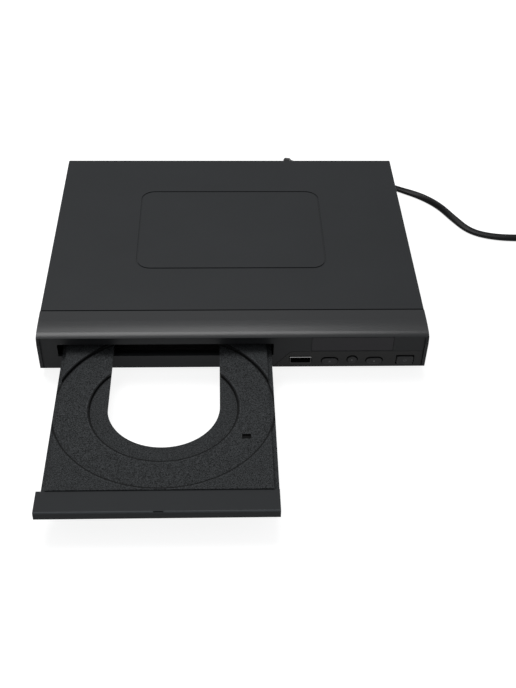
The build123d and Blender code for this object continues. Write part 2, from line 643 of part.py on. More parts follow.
# ---- Loader chassis ---------------------------------------------------------
LOADER_X = (-101.3, 27.4)
MOTOR_PLATE_X = 49.5
MOTOR_PLATE_Y = (-68.0, -10.0)
WALL_TOP = TRAY_TOP + 0.5
LEDGE_TOP = TRAY_FOOT - GUIDE
HOOK_Z = (RAIL_TOP + GUIDE, RAIL_TOP + GUIDE + 1.3)
HOOKS_Y = ((-79.0, -69.0), (-2.0, 8.0))
GEAR_GAP_Y = (DRIVE_Y - 12.5, DRIVE_Y + 19.0)
left_in = TRAY_X[0] - GUIDE
right_in = TRAY_X[1] + GUIDE
BRIDGE_HALF = 17.0
PAD_X = (-104.0, LOADER_X[1])
RIGHT_PAD_Y = (SPINDLE_Y - 10.0, SPINDLE_Y + BRIDGE_HALF)
SADDLE_X = (31.5, 36.5)  # distance of the pivot saddles from the middle of the disc
SADDLE_HALF = 3.5
MOTOR_R = 9.0
SHELF_Z = (14.7, 16.2)
SHELF_HALF = 10.5
CAM_Y = (-38.6, -35.6)
CAM_FOOT_Y = -47.0

with BuildPart() as loader_chassis:
    loader_y = (LOADER_FRONT, LOADER_REAR)
    plate_z = (LOADER_Z, LOADER_TOP)
    block(LOADER_X, loader_y, plate_z)
    block((LOADER_X[1] - 1, MOTOR_PLATE_X), MOTOR_PLATE_Y, plate_z)
    well_y = (WELL_FRONT, WELL_REAR)
    block(around(DISC_X, 2 * WELL_HALF), well_y, plate_z, Mode.SUBTRACT)
    block((left_in - LOADER_WALL, left_in), loader_y, (LOADER_Z, WALL_TOP))
    block((right_in, right_in + LOADER_WALL), loader_y, (LOADER_Z, WALL_TOP))
    block((left_in - 1, left_in + 3.4), loader_y, (LOADER_Z, LEDGE_TOP))
    block((right_in - 3.4, right_in + 1), loader_y, (LOADER_Z, LEDGE_TOP))
    gap_x = (right_in - 4, right_in + LOADER_WALL + 1)
    block(gap_x, GEAR_GAP_Y, (LOADER_TOP, LEDGE_TOP + 0.4), Mode.SUBTRACT)
    for hook_y in HOOKS_Y:
        block((left_in - 1, left_in + 2.1), hook_y, HOOK_Z)
        block((right_in - 2.5, right_in + 1), hook_y, HOOK_Z)
    block((PAD_X[0], left_in), around(SPINDLE_Y, 2 * BRIDGE_HALF), (LOADER_Z, BRIDGE_Z))
    block((right_in, PAD_X[1]), RIGHT_PAD_Y, (LOADER_Z, BRIDGE_Z))
    for side in (-1, 1):
        saddle_x = sorted((DISC_X + side * SADDLE_X[0], DISC_X + side * SADDLE_X[1]))
        block(saddle_x, around(PIVOT_Y, 2 * SADDLE_HALF), (LOADER_Z, PIVOT_Z + 2.4))
        with Locations(Location((DISC_X + side * 34, PIVOT_Y, PIVOT_Z), (0, 90, 0))):
            Cylinder(PIVOT_R + SHAFT_FIT, 6, mode=Mode.SUBTRACT)
    drum(DRIVE_X, DRIVE_Y, (LOADER_Z, RACK_Z[1]), POST_R)
    drum(PULLEY_X, DRIVE_Y, (LOADER_Z, PULLEY_Z[1]), POST_R)
    # Shelf that carries the motor, with its shaft pointing down.
    shelf_x = (MOTOR_X - SHELF_HALF + 1, MOTOR_PLATE_X)
    shelf_y = (MOTOR_Y - SHELF_HALF, MOTOR_Y + SHELF_HALF + 2)
    block(shelf_x, shelf_y, SHELF_Z)
    block((MOTOR_PLATE_X - 2, MOTOR_PLATE_X), shelf_y, (LOADER_Z, SHELF_Z[1]))
    block(shelf_x, (shelf_y[1] - 2, shelf_y[1]), (LOADER_Z, SHELF_Z[1]))
    drum(MOTOR_X, MOTOR_Y, SHELF_Z, 3.2, Mode.SUBTRACT)
    for x, y in LOADER_FEET:
        drum(x, y, plate_z, LOADER_SCREW_R + SHAFT_FIT, Mode.SUBTRACT)
    rib_y = (CAM_FOOT_Y - GAP - 1.5, CAM_FOOT_Y - GAP)
    block((DISC_X - 18, DISC_X + 18), rib_y, (LOADER_Z, LOADER_TOP + 3.0))
    for pad_x in (PAD_X[0] + 2.6, PAD_X[1] - 2.6):
        drum(pad_x, SPINDLE_Y, (BRIDGE_Z - 6, BRIDGE_Z), LOADER_SCREW_R + SHAFT_FIT, Mode.SUBTRACT)

with BuildPart() as loader_screws:
    for x, y in LOADER_FEET:
        screw(x, y, LOADER_TOP, LOADER_SCREW_R, LOADER_SCREW_LONG, LOADER_HEAD_R, LOADER_HEAD_H)

with BuildPart() as clamp_bridge:
    bridge_z = (BRIDGE_Z, BRIDGE_Z + BRIDGE_T)
    block(PAD_X, around(SPINDLE_Y, 2 * BRIDGE_HALF), bridge_z)
    drum(DISC_X, SPINDLE_Y, bridge_z, CLAMP_NECK_R + 0.6, Mode.SUBTRACT)
    for rib_y in (SPINDLE_Y - BRIDGE_HALF, SPINDLE_Y + BRIDGE_HALF - BRIDGE_T):
        rib_z = (BRIDGE_Z, BRIDGE_Z + 3.0)
        block((PAD_X[0] + 8, PAD_X[1] - 8), (rib_y, rib_y + BRIDGE_T), rib_z)
    for pad_x in (PAD_X[0] + 2.6, PAD_X[1] - 2.6):
        drum(pad_x, SPINDLE_Y, bridge_z, LOADER_SCREW_R + SHAFT_FIT, Mode.SUBTRACT)

with BuildPart() as bridge_screws:
    for pad_x in (PAD_X[0] + 2.6, PAD_X[1] - 2.6):
        screw(pad_x, SPINDLE_Y, BRIDGE_Z + BRIDGE_T, LOADER_SCREW_R, 6.0, 2.4, LOADER_HEAD_H)

# ---- Loading drive ----------------------------------------------------------
HUB_POST_R = 2.9
BORE_R = POST_R + SHAFT_FIT
with BuildPart() as drive_gear:
    gear(DRIVE_X, DRIVE_Y, TRAIN_Z, TRAIN_TEETH, TRAIN_MODULE)
    drum(DRIVE_X, DRIVE_Y, (TRAIN_Z[1], RACK_Z[0]), HUB_POST_R)
    gear(DRIVE_X, DRIVE_Y, RACK_Z, RACK_TEETH, RACK_MODULE)
    drum(DRIVE_X, DRIVE_Y, (TRAIN_Z[0], RACK_Z[1]), BORE_R, Mode.SUBTRACT)

with BuildPart() as pulley_gear:
    gear(PULLEY_X, DRIVE_Y, TRAIN_Z, PINION_TEETH, TRAIN_MODULE, 180 / PINION_TEETH)
    drum(PULLEY_X, DRIVE_Y, (TRAIN_Z[1], PULLEY_Z[0]), HUB_POST_R)
    drum(PULLEY_X, DRIVE_Y, PULLEY_Z, PULLEY_R)
    drum(PULLEY_X, DRIVE_Y, (PULLEY_Z[0], BELT_Z[0] - 0.1), PULLEY_R + FLANGE_RIM)
    drum(PULLEY_X, DRIVE_Y, (BELT_Z[1] + 0.1, PULLEY_Z[1]), PULLEY_R + FLANGE_RIM)
    drum(PULLEY_X, DRIVE_Y, (TRAIN_Z[0], PULLEY_Z[1]), BORE_R, Mode.SUBTRACT)

MOTOR_SHAFT_R = 0.75
with BuildPart() as loader_motor:
    drum(MOTOR_X, MOTOR_Y, (SHELF_Z[1] + 0.05, SHELF_Z[1] + 9.0), MOTOR_R)
    drum(MOTOR_X, MOTOR_Y, (SHELF_Z[0] + 0.2, SHELF_Z[1] + 1.0), 3.0)
    drum(MOTOR_X, MOTOR_Y, (PULLEY_Z[0], SHELF_Z[0] + 1.0), MOTOR_SHAFT_R)

with BuildPart() as motor_pulley:
    drum(MOTOR_X, MOTOR_Y, PULLEY_Z, MOTOR_PULLEY_R)
    drum(MOTOR_X, MOTOR_Y, (PULLEY_Z[0], BELT_Z[0] - 0.1), MOTOR_PULLEY_R + FLANGE_RIM)
    drum(MOTOR_X, MOTOR_Y, (BELT_Z[1] + 0.1, PULLEY_Z[1]), MOTOR_PULLEY_R + FLANGE_RIM)
    drum(MOTOR_X, MOTOR_Y, PULLEY_Z, MOTOR_SHAFT_R + SHAFT_FIT, Mode.SUBTRACT)

with BuildPart() as drive_belt:
    for radius, mode in ((BELT_SLACK + BELT_T, Mode.ADD), (BELT_SLACK, Mode.SUBTRACT)):
        with BuildSketch(Plane.XY.offset(BELT_Z[0])):
            with Locations((PULLEY_X, DRIVE_Y)):
                Circle(PULLEY_R + radius)
            with Locations((MOTOR_X, MOTOR_Y)):
                Circle(MOTOR_PULLEY_R + radius)
            make_hull()
        extrude(amount=BELT_Z[1] - BELT_Z[0], mode=mode)

with BuildPart() as tray_switch:
    block((-66.0, -56.0), (66.0, 73.0), (LOADER_TOP, LOADER_TOP + 3.6))
    block((-62.0, -60.0), (64.6, 66.0), (LOADER_TOP + 1.0, LOADER_TOP + 4.4))

# ---- Cam slider -------------------------------------------------------------
drop_sin = math.sin(math.radians(DROP))
drop_cos = math.cos(math.radians(DROP))
CAM_END = 3.4  # plate beyond the slot
CAM_X = (DISC_X - CAM_TRAVEL - CAM_END, DISC_X + CAM_END)
cam_reach = PIVOT_Y - (CAM_Y[0] + CAM_Y[1]) / 2
cam_low = PIVOT_Z - cam_reach * drop_sin / drop_cos + CAM_PIN_Z
cam_high = PIVOT_Z + CAM_PIN_Z
cam_run = math.hypot(CAM_TRAVEL, cam_high - cam_low)
cam_slope = math.degrees(math.atan2(cam_high - cam_low, -CAM_TRAVEL))

with BuildPart() as cam_slider:
    block(CAM_X, CAM_Y, (FLOOR_Z + 0.8, cam_high + CAM_PIN_R + 1.4))
    block(CAM_X, (CAM_FOOT_Y, CAM_Y[0] + 0.5), (LOADER_TOP + GAP, LOADER_TOP + 1.8))
    with BuildSketch(Plane.XZ.offset(-CAM_Y[1] - 1)):
        with Locations((DISC_X - CAM_TRAVEL / 2, (cam_low + cam_high) / 2)):
            SlotOverall(cam_run + 2 * CAM_PIN_R + 2 * GAP, 2 * CAM_PIN_R + 2 * GAP, rotation=cam_slope)
    extrude(amount=CAM_Y[1] - CAM_Y[0] + 0.5, mode=Mode.SUBTRACT)

# ---- Traverse ---------------------------------------------------------------
DECK_Z = (-DECK_T / 2, DECK_T / 2)
ROD_X = 19.0
ROD_R = 1.0
ROD_Z = 2.6
SCREW_X = 25.0
HOLDER_Y = (-54.0, -50.5)
SLED_WINDOW_Y = (-50.5, 9.0)
SLED_MOTOR_R = 3.6
SLED_MOTOR_Y = (-2.0, 7.0)
SPINDLE_MOTOR_R = 11.0
SPINDLE_MOTOR_TOP = 5.4
AXIS_R = 1.0
CAM_PIN_END = -80.2


def along_y(x, z, y, radius, mode=Mode.ADD):
    """A cylinder along local Y between the limits y."""
    with Locations(Location((x, (y[0] + y[1]) / 2, z), (90, 0, 0))):
        Cylinder(radius, y[1] - y[0], mode=mode)


with BuildPart(deck) as traverse_frame:
    block((-DECK_HALF, DECK_HALF), (DECK_FRONT, DECK_REAR), DECK_Z)
    for side in (-1, 1):
        block(mirrored(side, DECK_HALF - 1.6, DECK_HALF), (-2.5, 2.5), (-1.9, 1.9))
        with Locations(Location((side * (DECK_HALF + 2.5), 0, 0), (0, 90, 0))):
            Cylinder(PIVOT_R, 6)
    block((-3.0, 3.0), (DECK_FRONT, DECK_FRONT + 1.6), (DECK_Z[0], CAM_PIN_Z + 1.8))
    along_y(0, CAM_PIN_Z, (CAM_PIN_END, DECK_FRONT + 1), CAM_PIN_R)
    block((ROD_X - 2.5, SCREW_X + 2.5), HOLDER_Y, (DECK_Z[0], ROD_Z + 1.8))
    block((-ROD_X - 2.5, -ROD_X + 2.5), HOLDER_Y, (DECK_Z[0], ROD_Z + 1.8))
    for side in (-1, 1):
        holder_x = around(side * ROD_X, 5.0)
        block(holder_x, (SLED_WINDOW_Y[1], DECK_REAR), (DECK_Z[0], ROD_Z + 1.8))
    deep = (DECK_Z[0] - 2, DECK_Z[1] + 1.1)
    block((-ROD_X - 0.5, ROD_X + 0.5), SLED_WINDOW_Y, deep, Mode.SUBTRACT)
    drum(0, -PIVOT_ARM, DECK_Z, SPINDLE_MOTOR_R + FIT, Mode.SUBTRACT)
    pocket_x = around(SCREW_X, 2 * SLED_MOTOR_R + 2 * FIT)
    block(pocket_x, (SLED_MOTOR_Y[0] - FIT, SLED_MOTOR_Y[1] + FIT), deep, Mode.SUBTRACT)
    rod_y = (HOLDER_Y[0] + 1, DECK_REAR - 1)
    for side in (-1, 1):
        along_y(side * ROD_X, ROD_Z, rod_y, ROD_R + SHAFT_FIT, Mode.SUBTRACT)
    screw_y = (HOLDER_Y[0] + 1, HOLDER_Y[1] + 1)
    along_y(SCREW_X, ROD_Z, screw_y, ROD_R + SHAFT_FIT, Mode.SUBTRACT)

with BuildPart(deck) as guide_rods:
    for side in (-1, 1):
        along_y(side * ROD_X, ROD_Z, (rod_y[0] + 0.2, rod_y[1] - 0.2), ROD_R)

with BuildPart(deck) as lead_screw:
    along_y(SCREW_X, ROD_Z, (screw_y[0] + 0.2, SLED_MOTOR_Y[0] - 0.3), ROD_R)
    for index in range(14):
        groove_y = HOLDER_Y[1] + 2.5 + index * 3.0
        with Locations(Location((SCREW_X, groove_y, ROD_Z), (90, 0, 0))):
            Torus(ROD_R + 0.1, 0.3, mode=Mode.SUBTRACT)

with BuildPart(deck) as sled_motor:
    along_y(SCREW_X, ROD_Z, SLED_MOTOR_Y, SLED_MOTOR_R)

with BuildPart(deck) as spindle_motor:
    drum(0, -PIVOT_ARM, (DECK_Z[0], SPINDLE_MOTOR_TOP), SPINDLE_MOTOR_R)
    drum(0, -PIVOT_ARM, (SPINDLE_MOTOR_TOP, SEAT_Z), AXIS_R)

with BuildPart(deck) as turntable:
    drum(0, -PIVOT_ARM, (SPINDLE_MOTOR_TOP + 0.6, SEAT_Z - 0.5), TABLE_R)
    drum(0, -PIVOT_ARM, (SPINDLE_MOTOR_TOP + 0.6, SEAT_Z + HUB_H), HUB_R)
    tip = turntable.edges().filter_by(GeomType.CIRCLE).filter_by(
        lambda e: abs(e.radius - HUB_R) < 0.01).sort_by(Axis.Z)[-1]
    chamfer(tip, 0.8)
    drum(0, -PIVOT_ARM, (SPINDLE_MOTOR_TOP, SEAT_Z + 0.3), AXIS_R + SHAFT_FIT, Mode.SUBTRACT)

with BuildPart(deck) as turntable_pad:
    drum(0, -PIVOT_ARM, (SEAT_Z - 0.5, SEAT_Z), TABLE_R)
    drum(0, -PIVOT_ARM, (SEAT_Z - 0.5, SEAT_Z), TABLE_R - 4, Mode.SUBTRACT)

BODY_Y = (LENS_REST - 11.5, LENS_REST + 9.0)
EAR_Z = (ROD_Z - 1.45, ROD_Z + 1.6)
EAR_WALL = 2.0  # rod's axis to the edge of the sled
NUT_Y = (LENS_REST - 8.0, LENS_REST - 4.0)  # follower on the lead screw
with BuildPart(deck) as pickup_body:
    block((-ROD_X + 1.2, ROD_X - 1.2), BODY_Y, (-2.2, EAR_Z[1]))
    block((-ROD_X - EAR_WALL, ROD_X + EAR_WALL), BODY_Y, EAR_Z)
    block((ROD_X, SCREW_X + 2.3), NUT_Y, EAR_Z)
    block(around(0, 10.6), around(LENS_REST, 10.6), (1.8, EAR_Z[1]), Mode.SUBTRACT)
    for side in (-1, 1):
        along_y(side * ROD_X, ROD_Z, BODY_Y, ROD_R + SHAFT_FIT, Mode.SUBTRACT)
    along_y(SCREW_X, ROD_Z, NUT_Y, ROD_R + GAP, Mode.SUBTRACT)

with BuildPart(deck) as lens_holder:
    block(around(0, 9.4), around(LENS_REST, 9.4), (2.5, 5.6))
    drum(0, LENS_REST, (5.6, 6.2), 3.4)
    drum(0, LENS_REST, (5.4, 6.2), 2.2 + SHAFT_FIT, Mode.SUBTRACT)

with BuildPart(deck) as objective_lens:
    drum(0, LENS_REST, (5.4, 6.4), 2.2)

# ---- Disc clamp -------------------------------------------------------------
FLANGE_Z = BRIDGE_Z + BRIDGE_T + 0.2
MAGNET_R = 8.5
HUB_POCKET = (1.6, 1.6)  # room around and above the turntable's hub
with BuildPart() as clamper:
    drum(DISC_X, SPINDLE_Y, (CLAMP_LOW, FLANGE_Z + 1.2), CLAMP_NECK_R)
    drum(DISC_X, SPINDLE_Y, (FLANGE_Z, FLANGE_Z + 1.2), CLAMP_FLANGE_R)
    drum(DISC_X, SPINDLE_Y, (CLAMP_LOW, CLAMP_LOW + HUB_POCKET[1]), HUB_R + HUB_POCKET[0], Mode.SUBTRACT)
    drum(DISC_X, SPINDLE_Y, (FLANGE_Z - 1.2, FLANGE_Z + 1.2), MAGNET_R + SHAFT_FIT, Mode.SUBTRACT)

with BuildPart() as clamper_magnet:
    magnet_z = (FLANGE_Z - 1.2, FLANGE_Z + 0.8)
    drum(DISC_X, SPINDLE_Y, magnet_z, MAGNET_R)
    drum(DISC_X, SPINDLE_Y, magnet_z, MAGNET_R - 4.5, Mode.SUBTRACT)

# ---- Boards -----------------------------------------------------------------
REAR_STRIP_X = (47.0, 102.0)
REAR_STRIP_Y = (56.0, 92.0)
SIDE_STRIP_X = (66.0, 102.0)
SIDE_STRIP_Y = (-45.0, 57.0)
POWER_X = (30.0, 62.0)
POWER_Y = (-2.0, 52.0)
BOARD_TOP = BOARD_Z + BOARD_T
board_z = (BOARD_Z, BOARD_TOP)
socket_back = REAR_IN - REAR_T - 0.2

with BuildPart() as main_board:
    block(REAR_STRIP_X, REAR_STRIP_Y, board_z)
    block(SIDE_STRIP_X, SIDE_STRIP_Y, board_z)
    for x, y in MAIN_POSTS:
        drum(x, y, board_z, BOARD_SCREW_R + SHAFT_FIT, Mode.SUBTRACT)

with BuildPart() as power_board:
    block(POWER_X, POWER_Y, board_z)
    for x, y in POWER_POSTS:
        drum(x, y, board_z, BOARD_SCREW_R + SHAFT_FIT, Mode.SUBTRACT)

with BuildPart() as board_screws:
    for x, y in MAIN_POSTS + POWER_POSTS:
        screw(x, y, BOARD_TOP, BOARD_SCREW_R, BOARD_SCREW_LONG, BOARD_HEAD_R, BOARD_HEAD_H)

with BuildPart(face) as front_screws:
    for x, v in BEZEL_BOSSES:
        drum(x, v, (board_back - BOARD_HEAD_H, board_back), BOARD_HEAD_R)
        drum(x, v, (board_back, FRONT_BOARD_Z + BOARD_SCREW_LONG - 1), BOARD_SCREW_R)

CHIPS = ((84.0, 4.0, 18.0, 18.0, 1.4), (82.0, 34.0, 11.0, 16.0, 1.2), (92.0, -24.0, 10.0, 7.0, 1.5),
         (76.0, -24.0, 8.0, 8.0, 1.0), (80.0, 66.0, 9.0, 9.0, 1.2))
with BuildPart() as main_chips:
    for x, y, wide, long, high in CHIPS:
        block(around(x, wide), around(y, long), (BOARD_TOP, BOARD_TOP + high))

CANS = ((36.5, 10.5, 4.0, 10.5), (47.0, 7.5, 5.0, 11.5), (37.0, 42.0, 3.2, 8.0), (55.0, 12.0, 2.6, 7.0))
with BuildPart() as capacitors:
    for x, y, radius, high in CANS:
        drum(x, y, (BOARD_TOP, BOARD_TOP + high), radius)

with BuildPart() as transformer:
    core_x = (41.0, 57.0)
    block(core_x, (22.0, 40.0), (BOARD_TOP, BOARD_TOP + 10.5))
    block((core_x[0] + 2.5, core_x[1] - 2.5), (18.5, 43.5), (BOARD_TOP + 1.5, BOARD_TOP + 9.0))

with BuildPart() as av_jack_block:
    block((JACK_X[0] - 5.4, JACK_X[2] + 5.4), (80.0, socket_back), (BOARD_TOP, BOARD_TOP + 12.0))
    for x in JACK_X:
        along_y(x, JACK_Z, (82.0, socket_back), JACK_BORE, Mode.SUBTRACT)

with BuildPart() as av_jack_rings:
    for x in JACK_X:
        along_y(x, JACK_Z, (socket_back, REAR_Y + JACK_NECK[1]), JACK_NECK[0])
        along_y(x, JACK_Z, (REAR_Y + JACK_NECK[1], REAR_Y + JACK_OUT), JACK_R)
        along_y(x, JACK_Z, (socket_back, REAR_Y + JACK_OUT), JACK_BORE, Mode.SUBTRACT)

with BuildPart() as hdmi_socket:
    hdmi_y = (82.0, REAR_IN - 0.2)
    block(around(HDMI_X, HDMI_W), hdmi_y, (BOARD_TOP, HDMI_Z + HDMI_H / 2))
    hollow_y = (83.0, REAR_Y)
    block(around(HDMI_X, HDMI_W - 1), hollow_y, around(HDMI_Z, HDMI_H - 0.8), Mode.SUBTRACT)
    block(around(HDMI_X, HDMI_W - 4), (82.5, REAR_IN - 2), around(HDMI_Z + 0.2, 1.2))

CABLE_T = 0.4
CABLE_W = 10.0
CABLE_END = 76.0
CABLE_Y = (52.0, 40.0)  # rear run's front edge, and where it starts below the traverse
with BuildPart() as pickup_cable:
    cable_z = (FLOOR_Z + 0.1, FLOOR_Z + 0.1 + CABLE_T)
    rear_run = (CABLE_Y[0], CABLE_Y[0] + CABLE_W)
    block((DISC_X - CABLE_W / 2, CABLE_END), rear_run, cable_z)
    block(around(DISC_X, CABLE_W), (CABLE_Y[1], rear_run[1]), cable_z)
    block((CABLE_END - CABLE_T, CABLE_END), rear_run, (cable_z[0], BOARD_Z - 0.1))

# ---- Mains cord -------------------------------------------------------------
BOOT_END = REAR_Y + GLAND_OUT
with BuildPart() as strain_relief:
    along_y(GLAND_X, GLAND_Z, (REAR_IN - REAR_T - GLAND_IN, REAR_Y + 1), 4.5)
    along_y(GLAND_X, GLAND_Z, (REAR_IN, REAR_Y + 1.6), 6.0)
    boot_view = Plane(origin=(GLAND_X, REAR_Y + 1.6, GLAND_Z), x_dir=(1, 0, 0), z_dir=(0, 1, 0))
    with BuildSketch(boot_view):
        Circle(4.4)
    with BuildSketch(boot_view.offset(GLAND_OUT - 1.6)):
        Circle(CORD_D / 2 + 0.7)
    loft(ruled=True)

ROUTE = [
    (GLAND_X, BOOT_END, GLAND_Z),
    (GLAND_X, 123.0, GLAND_Z),
    (44.5, 133.0, 7.8),
    (56.0, 138.0, CORD_Z),
    (73.0, 136.5, CORD_Z),
    (92.0, 128.0, CORD_Z),
    (110.0, 114.5, CORD_Z),
    (124.0, 104.5, CORD_Z),
    (137.0, 95.5, CORD_Z),
    (148.5, 82.5, CORD_Z),
    (156.5, 66.0, CORD_Z),
    (165.5, 50.5, CORD_Z),
    (180.5, 43.8, CORD_Z),
    (199.0, 42.0, CORD_Z),
    (215.0, 41.0, CORD_Z + COIL_LIFT),
    (231.0, 41.0, CORD_Z + COIL_LIFT),
]


def bend_radii(points):
    """Radii of a flexible cord's bends: 0.45 of the shorter run over the tangent of half the turn."""
    radii = []
    for before, corner, after in zip(points, points[1:], points[2:]):
        first = Vector(*corner) - Vector(*before)
        second = Vector(*after) - Vector(*corner)
        turn = math.radians(first.get_angle(second))
        radii.append(0.45 * min(first.length, second.length) / math.tan(turn / 2))
    return radii


route_radii = bend_radii(ROUTE)
print("cord bends", [round(value, 1) for value in route_radii])
with BuildPart() as power_cord:
    with BuildLine() as cord_line:
        FilletPolyline(ROUTE, radius=route_radii)
    with BuildSketch(Plane(origin=cord_line.line @ 0, z_dir=cord_line.line % 0)):
        Circle(CORD_D / 2)
    sweep()
cord_free = cord_line.wire().length
cord_share = power_cord.part.volume / (math.pi * CORD_D**2 / 4 * cord_free)
print("cord length", round(cord_free, 1), "volume over section times length", round(cord_share, 4))

# ---- Coil -------------------------------------------------------------------
COIL_OUT_R = COIL_IN_R + COIL_HALF_TURNS_IN * TURN_PITCH / 2
coil_low = CORD_Z + COIL_LIFT
coil_high = coil_low + LAYER_PITCH
coil_start = Vector(ROUTE[-1][0] + CORD_D, ROUTE[-1][1], coil_low)

with BuildPart() as cord_coil:
    with BuildLine() as coil_line:
        Line(coil_start - Vector(CORD_D, 0, 0), coil_start)
        here = coil_start
        heading = 1
        radii = [COIL_OUT_R - index * TURN_PITCH / 2 for index in range(COIL_HALF_TURNS_IN)]
        for radius in radii:
            there = here - Vector(0, heading * 2 * radius, 0)
            TangentArc(here, there, tangent=(heading, 0, 0))
            here = there
            heading = -heading
        there = here - Vector(0, heading * 2 * COIL_IN_R, -LAYER_PITCH)
        middle = (here + there) * 0.5 + Vector(heading, 0, 0) * ((there - here).length / 2)
        climb = TangentArc(here, middle, tangent=(heading, 0, 0))
        TangentArc(middle, there, tangent=climb % 1)
        here = there
        heading = -heading
        for index in range(COIL_HALF_TURNS_OUT):
            radius = COIL_IN_R + (index + 1) * TURN_PITCH / 2
            there = here - Vector(0, heading * 2 * radius, 0)
            TangentArc(here, there, tangent=(heading, 0, 0))
            here = there
            heading = -heading
        there = here + Vector(LEAD_OUT_R, -LEAD_OUT_R, 0)
        TangentArc(here, there, tangent=(heading, 0, 0))
        coil_end = there - Vector(0, CORD_D, 0)
        Line(there, coil_end)
    with BuildSketch(Plane(origin=coil_line.line @ 0, z_dir=coil_line.line % 0)):
        Circle(CORD_D / 2)
    sweep()

coil_wire = coil_line.wire()
coil_length = coil_wire.length
samples = int(coil_length / 2.5)
coil_points = [coil_wire.position_at(index / samples) for index in range(samples + 1)]
least = min(
    (coil_points[one] - coil_points[two]).length
    for one in range(samples)
    for two in range(one + 12, samples + 1)
)
coil_share = cord_coil.part.volume / (math.pi * CORD_D**2 / 4 * coil_length)
print("coil length", round(coil_length, 1), "least gap to itself", round(least - CORD_D, 3))
print("coil volume over section times length", round(coil_share, 4))

TIE_W = 4.0
TIE_T = 0.6
with BuildPart() as cord_tie:
    tie_x = around(coil_start.X, TIE_W)
    outer_y = coil_start.Y - 2 * COIL_OUT_R - CORD_D / 2 - GAP
    inner_y = coil_start.Y - 2 * COIL_OUT_R + COIL_HALF_TURNS_IN * TURN_PITCH / 2 + CORD_D / 2 + GAP
    tie_z = (TIE_T, coil_high + CORD_D / 2 + GAP)
    block(tie_x, (outer_y - TIE_T, inner_y + TIE_T), (tie_z[0] - TIE_T, tie_z[1] + TIE_T))
    fillet(cord_tie.edges().filter_by(Axis.X), 1.0)
    block(tie_x, (outer_y, inner_y), tie_z, Mode.SUBTRACT)

# ---- Plug -------------------------------------------------------------------
PLUG_W = 22.0
PLUG_LONG = 26.0
PLUG_BOOT = 12.0
BLADE_STEP = 12.7
BLADE_W = 6.3
BLADE_T = 1.5
BLADE_OUT = 17.0
plug_view = Plane(origin=coil_end, x_dir=(1, 0, 0), z_dir=(0, -1, 0))

with BuildPart() as mains_plug:
    with BuildSketch(plug_view):
        Circle(CORD_D / 2 + 0.8)
    with BuildSketch(plug_view.offset(PLUG_BOOT)):
        Circle(CORD_D / 2 + 1.6)
    loft(ruled=True)
    with BuildSketch(plug_view.offset(PLUG_BOOT - 1)):
        RectangleRounded(PLUG_W, 2 * coil_high, 6.0)
    extrude(amount=PLUG_LONG)
    brim = mains_plug.edges().filter_by(Plane.XZ).group_by(Axis.Y)[0]
    fillet(brim, 1.5)

with BuildPart() as plug_blades:
    for side in (-1, 1):
        with BuildSketch(plug_view.offset(PLUG_BOOT - 1 + PLUG_LONG)):
            with Locations((side * BLADE_STEP / 2, 0)):
                Rectangle(BLADE_T, BLADE_W)
        extrude(amount=BLADE_OUT)

# ---- Export -----------------------------------------------------------------
pieces = {
    "top_cover": top_cover, "bottom_chassis": bottom_chassis, "rear_panel": rear_panel,
    "front_bezel": front_bezel, "display_window": display_window, "control_panel": control_panel,
    "feet": feet, "case_screws": case_screws, "front_board": front_board,
    "front_screws": front_screws, "tact_switches": tact_switches,
    "display_module": display_module, "ir_receiver": ir_receiver, "usb_shell": usb_shell,
    "usb_tongue": usb_tongue, "main_board": main_board, "power_board": power_board,
    "board_screws": board_screws, "main_chips": main_chips, "capacitors": capacitors,
    "transformer": transformer, "av_jack_block": av_jack_block, "av_jack_rings": av_jack_rings,
    "hdmi_socket": hdmi_socket, "pickup_cable": pickup_cable, "loader_chassis": loader_chassis,
    "loader_screws": loader_screws, "clamp_bridge": clamp_bridge, "bridge_screws": bridge_screws,
    "loader_motor": loader_motor, "drive_belt": drive_belt, "tray_switch": tray_switch,
    "disc_tray": disc_tray, "tray_door": tray_door, "drive_gear": drive_gear,
    "pulley_gear": pulley_gear, "motor_pulley": motor_pulley, "cam_slider": cam_slider,
    "traverse_frame": traverse_frame, "spindle_motor": spindle_motor, "sled_motor": sled_motor,
    "guide_rods": guide_rods, "turntable": turntable, "turntable_pad": turntable_pad,
    "lead_screw": lead_screw, "pickup_body": pickup_body, "lens_holder": lens_holder,
    "objective_lens": objective_lens, "clamper": clamper, "clamper_magnet": clamper_magnet,
    "strain_relief": strain_relief, "power_cord": power_cord, "cord_coil": cord_coil,
    "cord_tie": cord_tie, "mains_plug": mains_plug, "plug_blades": plug_blades,
} | buttons

middle_y = (DOOR_FRONT + BOOT_END) / 2
to_origin = Location((0, -middle_y, 0))
os.makedirs("parts", exist_ok=True)
for name, piece in pieces.items():
    placed = piece.part.moved(to_origin)
    placed.label = name
    export_step(placed, f"parts/{name}.step")
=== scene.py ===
import math

import bmesh
import bpy
from mathutils import Matrix, Vector


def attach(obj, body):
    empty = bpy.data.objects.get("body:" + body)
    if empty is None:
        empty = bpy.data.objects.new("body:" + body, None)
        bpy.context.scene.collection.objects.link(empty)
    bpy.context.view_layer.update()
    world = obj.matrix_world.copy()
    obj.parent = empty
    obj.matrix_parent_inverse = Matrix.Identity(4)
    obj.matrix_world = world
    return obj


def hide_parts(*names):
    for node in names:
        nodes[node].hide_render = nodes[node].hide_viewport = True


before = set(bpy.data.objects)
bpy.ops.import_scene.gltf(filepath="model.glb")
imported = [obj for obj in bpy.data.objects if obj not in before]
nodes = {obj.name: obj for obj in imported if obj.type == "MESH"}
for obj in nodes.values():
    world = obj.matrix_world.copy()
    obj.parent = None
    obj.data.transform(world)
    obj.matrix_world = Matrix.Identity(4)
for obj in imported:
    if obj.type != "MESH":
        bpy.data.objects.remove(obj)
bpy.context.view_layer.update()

MM = 0.001
MIDDLE_Y = 53.7  # middle of the case behind the origin, in millimetres

scene = bpy.context.scene
scene.view_settings.view_transform = "Standard"


